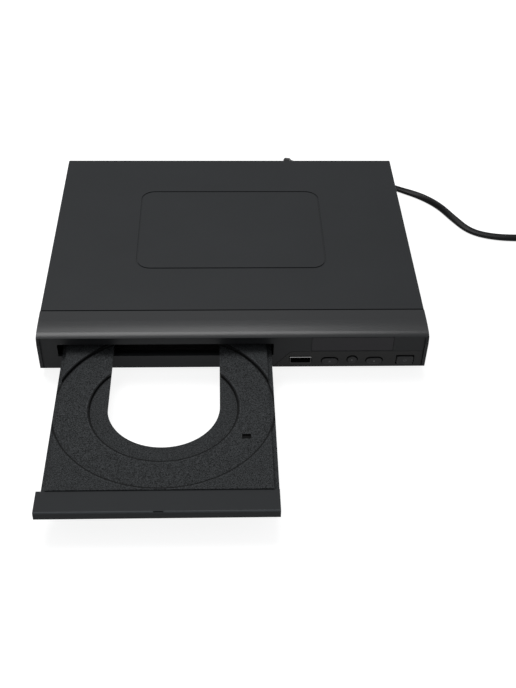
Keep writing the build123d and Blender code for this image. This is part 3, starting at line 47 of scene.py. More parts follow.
def add_object(name, data):
    """A new object in the scene, at the origin."""
    made = bpy.data.objects.new(name, data)
    scene.collection.objects.link(made)
    return made


# ---- Node helpers -----------------------------------------------------------
def group_socket(tree, name, kind, way, value=None):
    """A named input or output of a node group."""
    socket = tree.interface.new_socket(name=name, in_out=way, socket_type="NodeSocket" + kind)
    if value is not None:
        socket.default_value = value
    return socket


def fill(tree, node, inputs):
    """Gives a node's first inputs their links or values, in order."""
    for socket, given in zip(node.inputs, inputs):
        if isinstance(given, bpy.types.NodeSocket):
            tree.links.new(given, socket)
        else:
            socket.default_value = given


def number(tree, operation, *inputs, clamp=False):
    """The result of a Math node. Each input is a socket or a value."""
    node = tree.nodes.new("ShaderNodeMath")
    node.operation = operation
    node.use_clamp = clamp
    fill(tree, node, inputs)
    return node.outputs["Value"]


def vector(tree, operation, *inputs, output="Vector"):
    """The result of a Vector Math node. Each input is a socket or a value."""
    node = tree.nodes.new("ShaderNodeVectorMath")
    node.operation = operation
    fill(tree, node, inputs)
    return node.outputs[output]


def scaled(tree, colour, factor):
    """A colour times a factor."""
    node = tree.nodes.new("ShaderNodeVectorMath")
    node.operation = "SCALE"
    tree.links.new(colour, node.inputs[0])
    tree.links.new(factor, node.inputs["Scale"])
    return node.outputs["Vector"]


def ramp(tree, value, start, stop, low, high):
    """A smooth change from low to high as the value goes from start to stop."""
    node = tree.nodes.new("ShaderNodeMapRange")
    node.interpolation_type = "SMOOTHSTEP"
    for name, given in (("From Min", start), ("From Max", stop), ("To Min", low), ("To Max", high)):
        node.inputs[name].default_value = given
    tree.links.new(value, node.inputs["Value"])
    return node.outputs["Result"]


# ---- Camera, lights and studio ----------------------------------------------
SENSOR = 36.0
LENS = 58.07
CAMERA_AT = Vector((-7.804, -581.702 + MIDDLE_Y, 435.575)) * MM
CAMERA_RIGHT = Vector((0.99940, -0.02961, 0.01793))
CAMERA_UP = Vector((0.00543, 0.64559, 0.76366))

ROOM_COLOUR = (0.96, 0.98, 1, 1)
ROOM_LIGHT = 0.34
FLOOR_COLOUR = (0.36, 0.36, 0.36, 1)
FLOOR_GLOW = 0.86
FLOOR_HALF = 2.0  # from the middle of the floor to its edges, in metres
# Name, place, the point it faces, and width and depth, in metres, then power in watts.
LAMPS = (
    ("softbox_above", (-0.25, 0.50, 1.5), (0, 0, 0), (1.1, 0.7), 17.0),
    ("fill_front", (-0.5, -1.4, 0.9), (0, -0.1, 0.02), (0.9, 0.6), 1.2),
)


def add_camera():
    """The photograph's camera, fitted to the edges of the case."""
    data = bpy.data.cameras.new("camera")
    data.sensor_width = SENSOR
    data.lens = LENS
    camera = add_object("camera", data)
    right = CAMERA_RIGHT.normalized()
    up = (CAMERA_UP - right * CAMERA_UP.dot(right)).normalized()
    back = right.cross(up)
    turn = Matrix((right, up, back)).transposed().to_4x4()
    camera.matrix_world = Matrix.Translation(CAMERA_AT) @ turn
    scene.camera = camera


def add_panel_light(name, place, aim, size, power):
    """A soft rectangular light at place that points at aim."""
    data = bpy.data.lights.new(name, "AREA")
    data.shape = "RECTANGLE"
    data.size, data.size_y = size
    data.energy = power
    light = add_object(name, data)
    light.location = place
    light.rotation_euler = (Vector(aim) - Vector(place)).to_track_quat("-Z", "Y").to_euler()


def seen_directly(tree):
    """1 on rays from the camera and on those that mirror or pass through, 0 on the rest."""
    path = tree.nodes.new("ShaderNodeLightPath")
    most = path.outputs["Is Camera Ray"]
    for name in ("Is Glossy Ray", "Is Transmission Ray"):
        most = number(tree, "MAXIMUM", most, path.outputs[name])
    return most


def add_room():
    """The room's light, which the camera sees as white."""
    world = bpy.data.worlds.new("room")
    scene.world = world
    world.use_nodes = True
    tree = world.node_tree
    tree.nodes.clear()
    backdrop = tree.nodes.new("ShaderNodeBackground")
    backdrop.inputs["Color"].default_value = (1, 1, 1, 1)
    room = tree.nodes.new("ShaderNodeBackground")
    room.inputs["Color"].default_value = ROOM_COLOUR
    room.inputs["Strength"].default_value = ROOM_LIGHT
    path = tree.nodes.new("ShaderNodeLightPath")
    mix = tree.nodes.new("ShaderNodeMixShader")
    out = tree.nodes.new("ShaderNodeOutputWorld")
    tree.links.new(path.outputs["Is Camera Ray"], mix.inputs["Fac"])
    tree.links.new(room.outputs[0], mix.inputs[1])
    tree.links.new(backdrop.outputs[0], mix.inputs[2])
    tree.links.new(mix.outputs[0], out.inputs["Surface"])


def floor_paper():
    """Grey paper for light that bounces, white where it is seen directly, apart from a soft shadow."""
    material = bpy.data.materials.new("studio_paper")
    material.use_nodes = True
    tree = material.node_tree
    tree.nodes.clear()
    glow = tree.nodes.new("ShaderNodeEmission")
    glow.inputs["Strength"].default_value = FLOOR_GLOW
    paper = tree.nodes.new("ShaderNodeBsdfDiffuse")
    paper.inputs["Color"].default_value = FLOOR_COLOUR
    both = tree.nodes.new("ShaderNodeAddShader")
    mix = tree.nodes.new("ShaderNodeMixShader")
    out = tree.nodes.new("ShaderNodeOutputMaterial")
    tree.links.new(glow.outputs[0], both.inputs[0])
    tree.links.new(paper.outputs[0], both.inputs[1])
    tree.links.new(seen_directly(tree), mix.inputs["Fac"])
    tree.links.new(paper.outputs[0], mix.inputs[1])
    tree.links.new(both.outputs[0], mix.inputs[2])
    tree.links.new(mix.outputs[0], out.inputs["Surface"])
    return material


def add_floor():
    """The floor that the object and its cord lie on."""
    corners = [(-FLOOR_HALF, -FLOOR_HALF, 0), (FLOOR_HALF, -FLOOR_HALF, 0),
               (FLOOR_HALF, FLOOR_HALF, 0), (-FLOOR_HALF, FLOOR_HALF, 0)]
    data = bpy.data.meshes.new("studio_floor")
    data.from_pydata(corners, [], [(0, 1, 2, 3)])
    floor = add_object("studio_floor", data)
    data.materials.append(floor_paper())


# ---- Material helpers -------------------------------------------------------
def make_grain_group():
    """Moulded or painted surface: cloudy tone, fine grain and matching roughness and bump height."""
    tree = bpy.data.node_groups.new("surface_grain", "ShaderNodeTree")
    group_socket(tree, "Color", "Color", "INPUT", (0.5, 0.5, 0.5, 1))
    group_socket(tree, "Roughness", "Float", "INPUT", 0.5)
    group_socket(tree, "Grain Size", "Float", "INPUT", 0.0005)
    group_socket(tree, "Grain Tone", "Float", "INPUT", 0.1)
    group_socket(tree, "Cloud Tone", "Float", "INPUT", 0.08)
    group_socket(tree, "Wear", "Float", "INPUT", 0.1)
    group_socket(tree, "Color", "Color", "OUTPUT")
    group_socket(tree, "Roughness", "Float", "OUTPUT")
    group_socket(tree, "Height", "Float", "OUTPUT")
    new, link = tree.nodes.new, tree.links.new
    start, end = new("NodeGroupInput"), new("NodeGroupOutput")
    place = new("ShaderNodeTexCoord")

    def noise(**values):
        """A noise texture on the object's own coordinates."""
        texture = new("ShaderNodeTexNoise")
        link(place.outputs["Object"], texture.inputs["Vector"])
        for name, value in values.items():
            texture.inputs[name].default_value = value
        return texture

    def swing(texture, amount):
        """1 plus the noise's swing about its middle, times amount."""
        centred = number(tree, "SUBTRACT", texture.outputs["Fac"], 0.5)
        return number(tree, "MULTIPLY_ADD", centred, amount, 1.0)

    grain = noise(Detail=3.0, Roughness=0.6)
    link(number(tree, "DIVIDE", 1.0, start.outputs["Grain Size"]), grain.inputs["Scale"])
    cloud = noise(Scale=28.0, Detail=4.0)
    scuff = noise(Scale=340.0, Detail=6.0, Distortion=1.5)
    fine = swing(grain, start.outputs["Grain Tone"])
    broad = swing(cloud, start.outputs["Cloud Tone"])
    worn = swing(scuff, start.outputs["Wear"])
    tone = number(tree, "MULTIPLY", fine, broad)
    rough = number(tree, "MULTIPLY", start.outputs["Roughness"], worn, clamp=True)
    link(scaled(tree, start.outputs["Color"], tone), end.inputs["Color"])
    link(rough, end.inputs["Roughness"])
    link(grain.outputs["Fac"], end.inputs["Height"])
    return tree


grain_group = make_grain_group()


def surface(name, colour, roughness, grain=0.0005, grain_tone=0.15, cloud=0.1, wear=0.15,
            bump=0.2, depth=0.00004, metallic=0.0, coat=0.0, specular=0.5):
    """A finish with its own grain. Colour is linear red, green, blue."""
    material = bpy.data.materials.new(name)
    material.use_nodes = True
    tree = material.node_tree
    shader = tree.nodes["Principled BSDF"]
    texture = tree.nodes.new("ShaderNodeGroup")
    texture.node_tree = grain_group
    texture.inputs["Color"].default_value = (*colour, 1)
    texture.inputs["Roughness"].default_value = roughness
    texture.inputs["Grain Size"].default_value = grain
    texture.inputs["Grain Tone"].default_value = grain_tone
    texture.inputs["Cloud Tone"].default_value = cloud
    texture.inputs["Wear"].default_value = wear
    relief = tree.nodes.new("ShaderNodeBump")
    relief.inputs["Strength"].default_value = bump
    relief.inputs["Distance"].default_value = depth
    shader.inputs["Metallic"].default_value = metallic
    shader.inputs["Coat Weight"].default_value = coat
    shader.inputs["Specular IOR Level"].default_value = specular
    tree.links.new(texture.outputs["Color"], shader.inputs["Base Color"])
    tree.links.new(texture.outputs["Roughness"], shader.inputs["Roughness"])
    tree.links.new(texture.outputs["Height"], relief.inputs["Height"])
    tree.links.new(relief.outputs["Normal"], shader.inputs["Normal"])
    return material


def change_along(material, direction, start, spread, low, high):
    """A value that turns from low to high at a place along a direction. Places are in millimetres."""
    tree = material.node_tree
    place = tree.nodes.new("ShaderNodeTexCoord")
    along = vector(tree, "DOT_PRODUCT", place.outputs["Object"], direction, output="Value")
    return ramp(tree, along, (start - spread) * MM, (start + spread) * MM, low, high)


def tint_along(material, direction, start, spread, low, high):
    """Scales a material's base colour by a value that changes along a direction."""
    tree = material.node_tree
    base = tree.nodes["Principled BSDF"].inputs["Base Color"]
    change = change_along(material, direction, start, spread, low, high)
    tree.links.new(scaled(tree, base.links[0].from_socket, change), base)


# ---- Painted shade and highlight on the tray --------------------------------
DISC_CENTRE = Vector((-38.6, -141.3 + MIDDLE_Y, 0.0)) * MM
POCKET_RADII = (40.6 * MM, 60.6 * MM)
# Painted shade lines and a painted highlight line along each pocket's step: shift outwards from its radius
# and half width, in millimetres, and tone.
POCKET_SHADE_LINES = ((-0.30, 0.60, 0.10), (0.30, 0.70, 0.12), (1.25, 0.40, 1.3))
# The small recess: where it lies along X, Y and Z, in millimetres, and the tone of the painted shade inside
# it.
RECESS = ((3.5, 8.5), (-166.3 + MIDDLE_Y, -162.7 + MIDDLE_Y), (17.5, 18.7))
RECESS_PAINTED_SHADE = 0.06


def make_pocket_shade_group():
    """Painted shade lines at the step of each disc pocket, a painted highlight line outside it, and painted
    shade in the small recess.
    """
    tree = bpy.data.node_groups.new("pocket_painted_shade", "ShaderNodeTree")
    group_socket(tree, "Color", "Color", "INPUT", (0.5, 0.5, 0.5, 1))
    group_socket(tree, "Color", "Color", "OUTPUT")
    new, link = tree.nodes.new, tree.links.new
    start, end = new("NodeGroupInput"), new("NodeGroupOutput")
    place = new("ShaderNodeTexCoord")
    offset = vector(tree, "SUBTRACT", place.outputs["Object"], DISC_CENTRE)
    flat = vector(tree, "MULTIPLY", offset, (1, 1, 0))
    from_centre = vector(tree, "LENGTH", flat, output="Value")
    colour = start.outputs["Color"]
    for radius in POCKET_RADII:
        for shift, width, tone in POCKET_SHADE_LINES:
            beside = number(tree, "SUBTRACT", from_centre, radius + shift * MM)
            away = number(tree, "ABSOLUTE", beside)
            colour = scaled(tree, colour, ramp(tree, away, 0.0, width * MM, tone, 1.0))
    axes = new("ShaderNodeSeparateXYZ")
    link(place.outputs["Object"], axes.inputs[0])
    within = []
    for axis, (low, high) in zip("XYZ", RECESS):
        middle, half = (low + high) / 2 * MM, (high - low) / 2 * MM
        within.append(number(tree, "COMPARE", axes.outputs[axis], middle, half))
    across = number(tree, "MULTIPLY", within[0], within[1])
    inside = number(tree, "MULTIPLY", across, within[2])
    colour = scaled(tree, colour, ramp(tree, inside, 0.0, 1.0, 1.0, RECESS_PAINTED_SHADE))
    link(colour, end.inputs["Color"])
    return tree


def paint_pocket_shade(material):
    """Puts the painted shade and highlight of the pockets between a material's grain and its base colour."""
    tree = material.node_tree
    base = tree.nodes["Principled BSDF"].inputs["Base Color"]
    lines = tree.nodes.new("ShaderNodeGroup")
    lines.node_tree = make_pocket_shade_group()
    tree.links.new(base.links[0].from_socket, lines.inputs["Color"])
    tree.links.new(lines.outputs["Color"], base)


# ---- Finishes of the case, the keys and the tray -----------------------------
LIP_HEIGHT = 28.9  # the bezel is rubbed above this height, in millimetres
NOSE_COAT = 0.57
DOOR_EDGE = 182.62  # Z less Y at the rounded front edge of the tray's door, in millimetres
# Factor of the painted highlight on the door's front edge
DOOR_EDGE_HIGHLIGHT = 2.6

paint = surface("cover_paint", (0.0165, 0.018, 0.0197), 0.50, grain=0.0006, grain_tone=0.25,
                cloud=0.25, bump=0.35, specular=0.22)
bezel_plastic = surface("bezel_plastic", (0.0172, 0.0180, 0.0192), 0.45, grain=0.0008,
                        grain_tone=0.15, bump=0.12, specular=0.12)
panel_plastic = surface("panel_plastic", (0.026, 0.026, 0.026), 0.42, grain=0.0006, bump=0.15,
                        specular=0.10)
key_plastic = surface("key_plastic", (0.029, 0.029, 0.030), 0.38, grain=0.0005, bump=0.15,
                      specular=0.12)
smoked = surface("smoked_window", (0.033, 0.0315, 0.035), 0.22, grain=0.002, grain_tone=0.1,
                 bump=0.03, specular=0.10)
tray_plastic = surface("tray_texture", (0.0295, 0.0315, 0.033), 0.58, grain=0.0005, grain_tone=6.5,
                       cloud=0.1, bump=1.0, depth=0.0004, specular=0.12)
door_plastic = surface("door_plastic", (0.0235, 0.0252, 0.027), 0.52, grain=0.0006, bump=0.15,
                       specular=0.10)
foot_rubber = surface("foot_rubber", (0.012, 0.012, 0.012), 0.85, grain=0.0004, grain_tone=0.4,
                      bump=0.5)
print_grey = surface("printed_mark", (0.060, 0.061, 0.063), 0.55, grain=0.0004, grain_tone=0.3,
                     bump=0.1)

# The rubbed top and nose of the bezel take a clear coat, above its recessed face.
coat_weight = change_along(bezel_plastic, (0, 0, 1), LIP_HEIGHT, spread=0.2, low=0.0, high=NOSE_COAT)
bezel_shader = bezel_plastic.node_tree.nodes["Principled BSDF"]
bezel_shader.inputs["Coat Roughness"].default_value = 0.30
bezel_plastic.node_tree.links.new(coat_weight, bezel_shader.inputs["Coat Weight"])

# A painted highlight makes the rounded front edge of the tray's door lighter.
tint_along(door_plastic, (0, -1, 1), DOOR_EDGE, spread=0.12, low=1.0, high=DOOR_EDGE_HIGHLIGHT)
# Painted shade and highlight along the disc pockets' steps, and painted shade in the small recess.
paint_pocket_shade(tray_plastic)

# ---- Finishes of the sockets, the cord and the works -------------------------
USB_SHADE_TOP = 12.2  # painted shade darkens the front socket's shell below this height; only its upper rim stays bright

steel = surface("plated_steel", (0.55, 0.56, 0.57), 0.32, grain=0.0012, grain_tone=0.12, bump=0.1,
                metallic=1.0)
shell_steel_with_painted_shade = surface("socket_shell", (0.34, 0.34, 0.34), 0.38, grain=0.001, bump=0.08, metallic=1.0)
# Painted shade on the front socket's shell, below its upper rim.
tint_along(shell_steel_with_painted_shade, (0, 0, 1), USB_SHADE_TOP, spread=0.15, low=0.12, high=1.0)
dark_steel = surface("dark_screw", (0.16, 0.16, 0.17), 0.36, grain=0.0006, bump=0.15, metallic=1.0)
board_green = surface("board_mask", (0.012, 0.07, 0.025), 0.38, grain=0.003, grain_tone=0.5,
                      cloud=0.3, bump=0.2)
chip_black = surface("chip_epoxy", (0.015, 0.015, 0.016), 0.55, grain=0.0003, bump=0.35)
can_sleeve = surface("capacitor_sleeve", (0.05, 0.08, 0.20), 0.32, grain=0.001, bump=0.08)
core_tape = surface("transformer_tape", (0.42, 0.30, 0.05), 0.42, grain=0.002, bump=0.15)
jack_black = surface("socket_moulding", (0.018, 0.018, 0.018), 0.45, grain=0.0005, bump=0.2)
nickel = surface("socket_ring", (0.68, 0.64, 0.55), 0.25, grain=0.001, bump=0.06, metallic=1.0)
film = surface("flat_cable_film", (0.70, 0.70, 0.66), 0.35, grain=0.001, bump=0.05)
black_abs = surface("loader_moulding", (0.018, 0.018, 0.018), 0.48, grain=0.0006, bump=0.25)
acetal = surface("white_acetal", (0.70, 0.69, 0.64), 0.35, grain=0.0008, grain_tone=0.08, bump=0.08)
ferrite = surface("sintered_magnet", (0.06, 0.06, 0.065), 0.5, grain=0.0004, grain_tone=0.4,
                  bump=0.4, metallic=0.6)
sheath = surface("cord_sheath", (0.0075, 0.0075, 0.0078), 0.42, grain=0.0010, grain_tone=0.2,
                 wear=0.3, bump=0.2, specular=0.14)
brass = surface("plug_brass", (0.72, 0.52, 0.22), 0.28, grain=0.001, bump=0.08, metallic=1.0)
lens_glass = surface("lens_coating", (0.04, 0.06, 0.16), 0.06, grain=0.004, grain_tone=0.3,
                     bump=0.0, coat=1.0)

LOOKS = {
    "top_cover": paint, "bottom_chassis": steel, "rear_panel": paint, "front_bezel": bezel_plastic,
    "display_window": smoked, "control_panel": panel_plastic, "feet": foot_rubber,
    "case_screws": dark_steel, "front_board": board_green, "front_screws": dark_steel,
    "tact_switches": chip_black, "display_module": chip_black, "ir_receiver": lens_glass,
    "usb_shell": shell_steel_with_painted_shade, "usb_tongue": jack_black, "main_board": board_green,
    "power_board": board_green, "board_screws": dark_steel, "main_chips": chip_black,
    "capacitors": can_sleeve, "transformer": core_tape, "av_jack_block": jack_black,
    "av_jack_rings": nickel, "hdmi_socket": steel, "pickup_cable": film,
    "loader_chassis": black_abs, "loader_screws": dark_steel, "clamp_bridge": steel,
    "bridge_screws": dark_steel, "loader_motor": steel, "drive_belt": foot_rubber,
    "tray_switch": jack_black, "disc_tray": tray_plastic, "tray_door": door_plastic,
    "drive_gear": acetal, "pulley_gear": acetal, "motor_pulley": acetal, "cam_slider": acetal,
    "traverse_frame": black_abs, "spindle_motor": steel, "sled_motor": steel, "guide_rods": steel,
    "turntable": acetal, "turntable_pad": foot_rubber, "lead_screw": steel, "pickup_body": ferrite,
    "lens_holder": chip_black, "objective_lens": lens_glass, "clamper": acetal,
    "clamper_magnet": ferrite, "strain_relief": sheath, "power_cord": sheath, "cord_coil": sheath,
    "cord_tie": jack_black, "mains_plug": sheath, "plug_blades": brass, "open_button": key_plastic,
    "play_button": key_plastic, "stop_button": key_plastic, "power_button": key_plastic,
}
for name, material in LOOKS.items():
    for slot in nodes[name].material_slots:
        slot.material = material


# ---- Mesh helpers -----------------------------------------------------------
def add_piece(name, data, body):
    """A mesh as a new piece that rides on a body."""
    piece = add_object(name, data)
    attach(piece, body)
    return piece


def mesh_piece(name, points, faces, material, body, smooth=False):
    """A new piece from points in the shared frame."""
    data = bpy.data.meshes.new(name)
    data.from_pydata(points, [], faces)
    data.validate()
    data.update()
    for polygon in data.polygons:
        polygon.use_smooth = smooth
    data.materials.append(material)
    return add_piece(name, data, body)


def tube_faces(rings, count):
    """The walls and both ends of a tube of rings, each with count points."""
    faces = []
    for ring in range(rings - 1):
        for index in range(count):
            after = (index + 1) % count
            low, high = ring * count, (ring + 1) * count
            faces.append((low + index, low + after, high + after, high + index))
    faces.append(tuple(reversed(range(count))))
    last = (rings - 1) * count
    faces.append(tuple(range(last, last + count)))
    return faces


def swept(name, centres, sides, ups, section, material, body):
    """A closed tube whose section's points are carried along the centres."""
    points = []
    for centre, side, up in zip(centres, sides, ups):
        points += [centre + side * across + up * high for across, high in section]
    faces = tube_faces(len(centres), len(section))
    return mesh_piece(name, points, faces, material, body, smooth=True)


def ring_mesh(name, profile, around=40):
    """A body of revolution about Y. The profile is pairs of place along Y and radius, in millimetres."""
    points = []
    for along, radius in profile:
        for index in range(around):
            angle = 2 * math.pi * index / around
            points.append(Vector((radius * math.sin(angle), along, radius * math.cos(angle))) * MM)
    data = bpy.data.meshes.new(name)
    data.from_pydata(points, [], tube_faces(len(profile), around))
    bm = bmesh.new()
    bm.from_mesh(data)
    bmesh.ops.recalc_face_normals(bm, faces=bm.faces)
    bm.to_mesh(data)
    bm.free()
    return data


def settled(data, place):
    """Moves a mesh to its place, in metres, so that its object can stay at the origin."""
    data.transform(Matrix.Translation(place))
    return data


# ---- Mains cord: a flat twin lead on the floor, its put-away coil and its run to the plug
CORD_W = 5.0 * MM
CORD_T = 2.7 * MM
CORE_POINTS = 9  # points round each of the lead's two rounded sides
CORE_REACH = 78  # degrees that they reach, up and down from the outermost point
CURVE_STEPS = 8  # steps of the smooth curve from one control point to the next
GLAND_X = 41.0
GLAND_Z = 17.2
FLOOR_LINE = 1.5  # height of the lead's middle on the floor, in millimetres
COIL_LINE = FLOOR_LINE + 0.9  # and of the coil's lower layer
COIL_X = 236.0  # where the coil's half turns start and end
COIL_Y = 41.0
ROUTE_MM = [
    (GLAND_X, 110.0, GLAND_Z),
    (GLAND_X, 123.0, GLAND_Z),
    (44.5, 133.0, 7.8),
    (56.0, 138.0, FLOOR_LINE),
    (73.0, 136.5, FLOOR_LINE),
    (92.0, 128.0, FLOOR_LINE),
    (110.0, 114.5, FLOOR_LINE),
    (124.0, 104.5, FLOOR_LINE),
    (137.0, 95.5, FLOOR_LINE),
    (148.5, 82.5, FLOOR_LINE),
    (156.5, 66.0, FLOOR_LINE),
    (165.5, 50.5, FLOOR_LINE),
    (180.5, 43.8, FLOOR_LINE),
    (199.0, 42.0, FLOOR_LINE),
    (215.0, COIL_Y, COIL_LINE),
    (231.0, COIL_Y, COIL_LINE),
]
# Degrees by which the lead leans, how far along it, and over what length, in metres.
TWISTS = ((-10.0, 0.108, 0.020), (50.0, 0.150, 0.030), (36.0, 0.238, 0.035))
TURN_PITCH = 5.45
LAYER = 3.1
COIL_IN_R = 19.3
HALF_TURNS_IN = 6
HALF_TURNS_OUT = 5
POINTS_PER_TURN = 16
LEAD_OUT_R = 53.0
LEAD_OUT_POINTS = 5
LAST_STRETCH = 5.0
PLUG_HEIGHT = 8.85


def coil_points():
    """Control points of the coil's turns, in millimetres: in on the floor, up, and out again."""
    step = 2 * math.pi / POINTS_PER_TURN
    half = POINTS_PER_TURN // 2
    out_r = COIL_IN_R + HALF_TURNS_IN * TURN_PITCH / 2
    radii = [out_r - index * TURN_PITCH / 2 for index in range(HALF_TURNS_IN)]
    radii += [COIL_IN_R]
    radii += [COIL_IN_R + (index + 1) * TURN_PITCH / 2 for index in range(HALF_TURNS_OUT)]
    points = []
    y, heading = COIL_Y, 1
    for turn, radius in enumerate(radii):
        middle_y = y - heading * radius
        for index in range(half):
            angle = (index + 0.5) * step
            rise = 0.0
            if turn == HALF_TURNS_IN:
                rise = LAYER * (index + 0.5) / half
            elif turn > HALF_TURNS_IN:
                rise = LAYER
            points.append((
                COIL_X + heading * radius * math.sin(angle),
                middle_y + heading * radius * math.cos(angle),
                COIL_LINE + rise,
            ))
        y -= heading * 2 * radius
        heading = -heading
    for index in range(LEAD_OUT_POINTS):
        angle = (index + 0.5) * math.pi / 2 / LEAD_OUT_POINTS
        share = (index + 0.5) / LEAD_OUT_POINTS
        points.append((
            COIL_X + LEAD_OUT_R * math.sin(angle),
            y - LEAD_OUT_R + LEAD_OUT_R * math.cos(angle),
            COIL_LINE + LAYER + (PLUG_HEIGHT - COIL_LINE - LAYER) * share,
        ))
    end_x, end_y = COIL_X + LEAD_OUT_R, y - LEAD_OUT_R
    points += [(end_x, end_y, PLUG_HEIGHT), (end_x, end_y - LAST_STRETCH, PLUG_HEIGHT)]
    return points


def nurbs_points(points_mm):
    """Points along the smooth curve that the control points give, in metres."""
    curve = bpy.data.curves.new("cord_line", "CURVE")
    curve.dimensions = "3D"
    curve.resolution_u = CURVE_STEPS
    spline = curve.splines.new("NURBS")
    spline.points.add(len(points_mm) - 1)
    for control, place in zip(spline.points, points_mm):
        control.co = (place[0] * MM, (place[1] + MIDDLE_Y) * MM, place[2] * MM, 1)
    spline.order_u = 3
    spline.use_endpoint_u = True
    line = bpy.data.objects.new("cord_line", curve)
    mesh = bpy.data.meshes.new_from_object(line)
    places = [vertex.co.copy() for vertex in mesh.vertices]
    bpy.data.objects.remove(line)
    bpy.data.curves.remove(curve)
    bpy.data.meshes.remove(mesh)
    return places


def lead_section():
    """Outline of a flat twin lead: two rounded sides, flat between them."""
    outline = []
    core = CORD_T / 2
    offset = CORD_W / 2 - core
    for side in (1, -1):
        for index in range(CORE_POINTS):
            angle = math.radians(-CORE_REACH + index * 2 * CORE_REACH / (CORE_POINTS - 1))
            across = side * (offset + core * math.cos(angle))
            outline.append((across, side * core * math.sin(angle)))
    return outline


def cord():
    """The lead as one piece from the boot to the plug, with its middle line and its length in metres."""
    line = nurbs_points(ROUTE_MM + coil_points())
    tangents = [(after - before).normalized() for before, after in zip(line, line[1:])]
    tangents.append(tangents[-1])
    sides, ups = [], []
    run = 0.0
    for index, tangent in enumerate(tangents):
        level = tangent.cross(Vector((0, 0, 1))).normalized()
        upright = level.cross(tangent).normalized()
        if index:
            run += (line[index] - line[index - 1]).length
        roll = sum(math.radians(most) * math.exp(-((run - at) / spread) ** 2) for most, at, spread in TWISTS)
        turn = Matrix.Rotation(roll, 3, tangent)
        sides.append(turn @ level)
        ups.append(turn @ upright)
        lift = abs(math.sin(roll)) * (CORD_W - CORD_T) / 2
        line[index].z += lift
    piece = swept("mains_lead", line, sides, ups, lead_section(), sheath, "case")
    length = sum((after - before).length for before, after in zip(line, line[1:]))
    return piece, line, length


# ---- Strain relief with its moulded ribs ------------------------------------
BOOT_AXIS = Vector((GLAND_X, MIDDLE_Y, GLAND_Z)) * MM
# Pairs of place along the axis and radius, in millimetres: from the middle of the case, and along one rib.
BOOT_SLEEVE = ((88.2, 4.4), (95.2, 4.4), (95.3, 5.6), (95.6, 5.95), (97.2, 5.95), (97.6, 5.6),
               (97.7, 3.7), (109.4, 2.95), (109.9, 2.7))
BOOT_RIB = ((0.0, 3.2), (0.1, 3.9), (0.3, 4.3), (1.1, 4.3), (1.4, 3.9), (1.5, 3.2))
RIB_COUNT = 6
RIB_STEP = 2.0
RIB_SHRINK = 0.035
FIRST_RIB = 97.9


def make_row_tree(material):
    """Copies of the incoming mesh in a row, each smaller than the one before."""
    tree = bpy.data.node_groups.new("row_of_copies", "GeometryNodeTree")
    group_socket(tree, "Unit", "Geometry", "INPUT")
    sizes = {}
    for name, kind in (("Count", "Int"), ("Step", "Vector"), ("Shrink", "Float")):
        sizes[name] = group_socket(tree, name, kind, "INPUT").identifier
    group_socket(tree, "Row", "Geometry", "OUTPUT")
    new, link = tree.nodes.new, tree.links.new
    start, end = new("NodeGroupInput"), new("NodeGroupOutput")
    line = new("GeometryNodeMeshLine")
    copies = new("GeometryNodeInstanceOnPoints")
    index = new("GeometryNodeInputIndex")
    less = number(tree, "MULTIPLY", index.outputs["Index"], start.outputs["Shrink"])
    size = number(tree, "SUBTRACT", 1.0, less)
    axes = new("ShaderNodeCombineXYZ")
    axes.inputs["Y"].default_value = 1.0
    real = new("GeometryNodeRealizeInstances")
    finish = new("GeometryNodeSetMaterial")
    finish.inputs["Material"].default_value = material
    link(start.outputs["Count"], line.inputs["Count"])
    link(start.outputs["Step"], line.inputs["Offset"])
    link(line.outputs["Mesh"], copies.inputs["Points"])
    link(start.outputs["Unit"], copies.inputs["Instance"])
    link(size, axes.inputs["X"])
    link(size, axes.inputs["Z"])
    link(axes.outputs[0], copies.inputs["Scale"])
    link(copies.outputs["Instances"], real.inputs["Geometry"])
    link(real.outputs["Geometry"], finish.inputs["Geometry"])
    link(finish.outputs["Geometry"], end.inputs["Row"])
    return tree, sizes


def ribbed_boot():
    """The moulded boot at the rear: a collar, a flange, a sleeve that narrows and its ribs."""
    core = settled(ring_mesh("boot_sleeve", BOOT_SLEEVE), BOOT_AXIS)
    core.materials.append(sheath)
    boot = add_piece("boot_sleeve", core, "case")
    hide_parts("strain_relief")

    unit = add_object("boot_rib", ring_mesh("boot_rib", BOOT_RIB))
    row = unit.modifiers.new("row", "NODES")
    row.node_group, sizes = make_row_tree(sheath)
    row[sizes["Count"]] = RIB_COUNT
    row[sizes["Step"]] = (0.0, RIB_STEP * MM, 0.0)
    row[sizes["Shrink"]] = RIB_SHRINK
    graph = bpy.context.evaluated_depsgraph_get()
    data = bpy.data.meshes.new_from_object(unit.evaluated_get(graph), depsgraph=graph)
    bpy.data.objects.remove(unit)
    data.name = "boot_ribs"
    settled(data, BOOT_AXIS + Vector((0, FIRST_RIB, 0)) * MM)
    for polygon in data.polygons:
        polygon.use_smooth = True
    add_piece("boot_ribs", data, "case")


# ---- Cord tie, in millimetres -------------------------------------------------
TIE_LOW_Y = -33.6
TIE_HIGH_Y = -10.6
TIE_TOP = 7.6
TIE_THICK = 0.6
TIE_HALF_WIDE = 2.0
TIE_CORNER = 1.2
TIE_CORNER_POINTS = 6


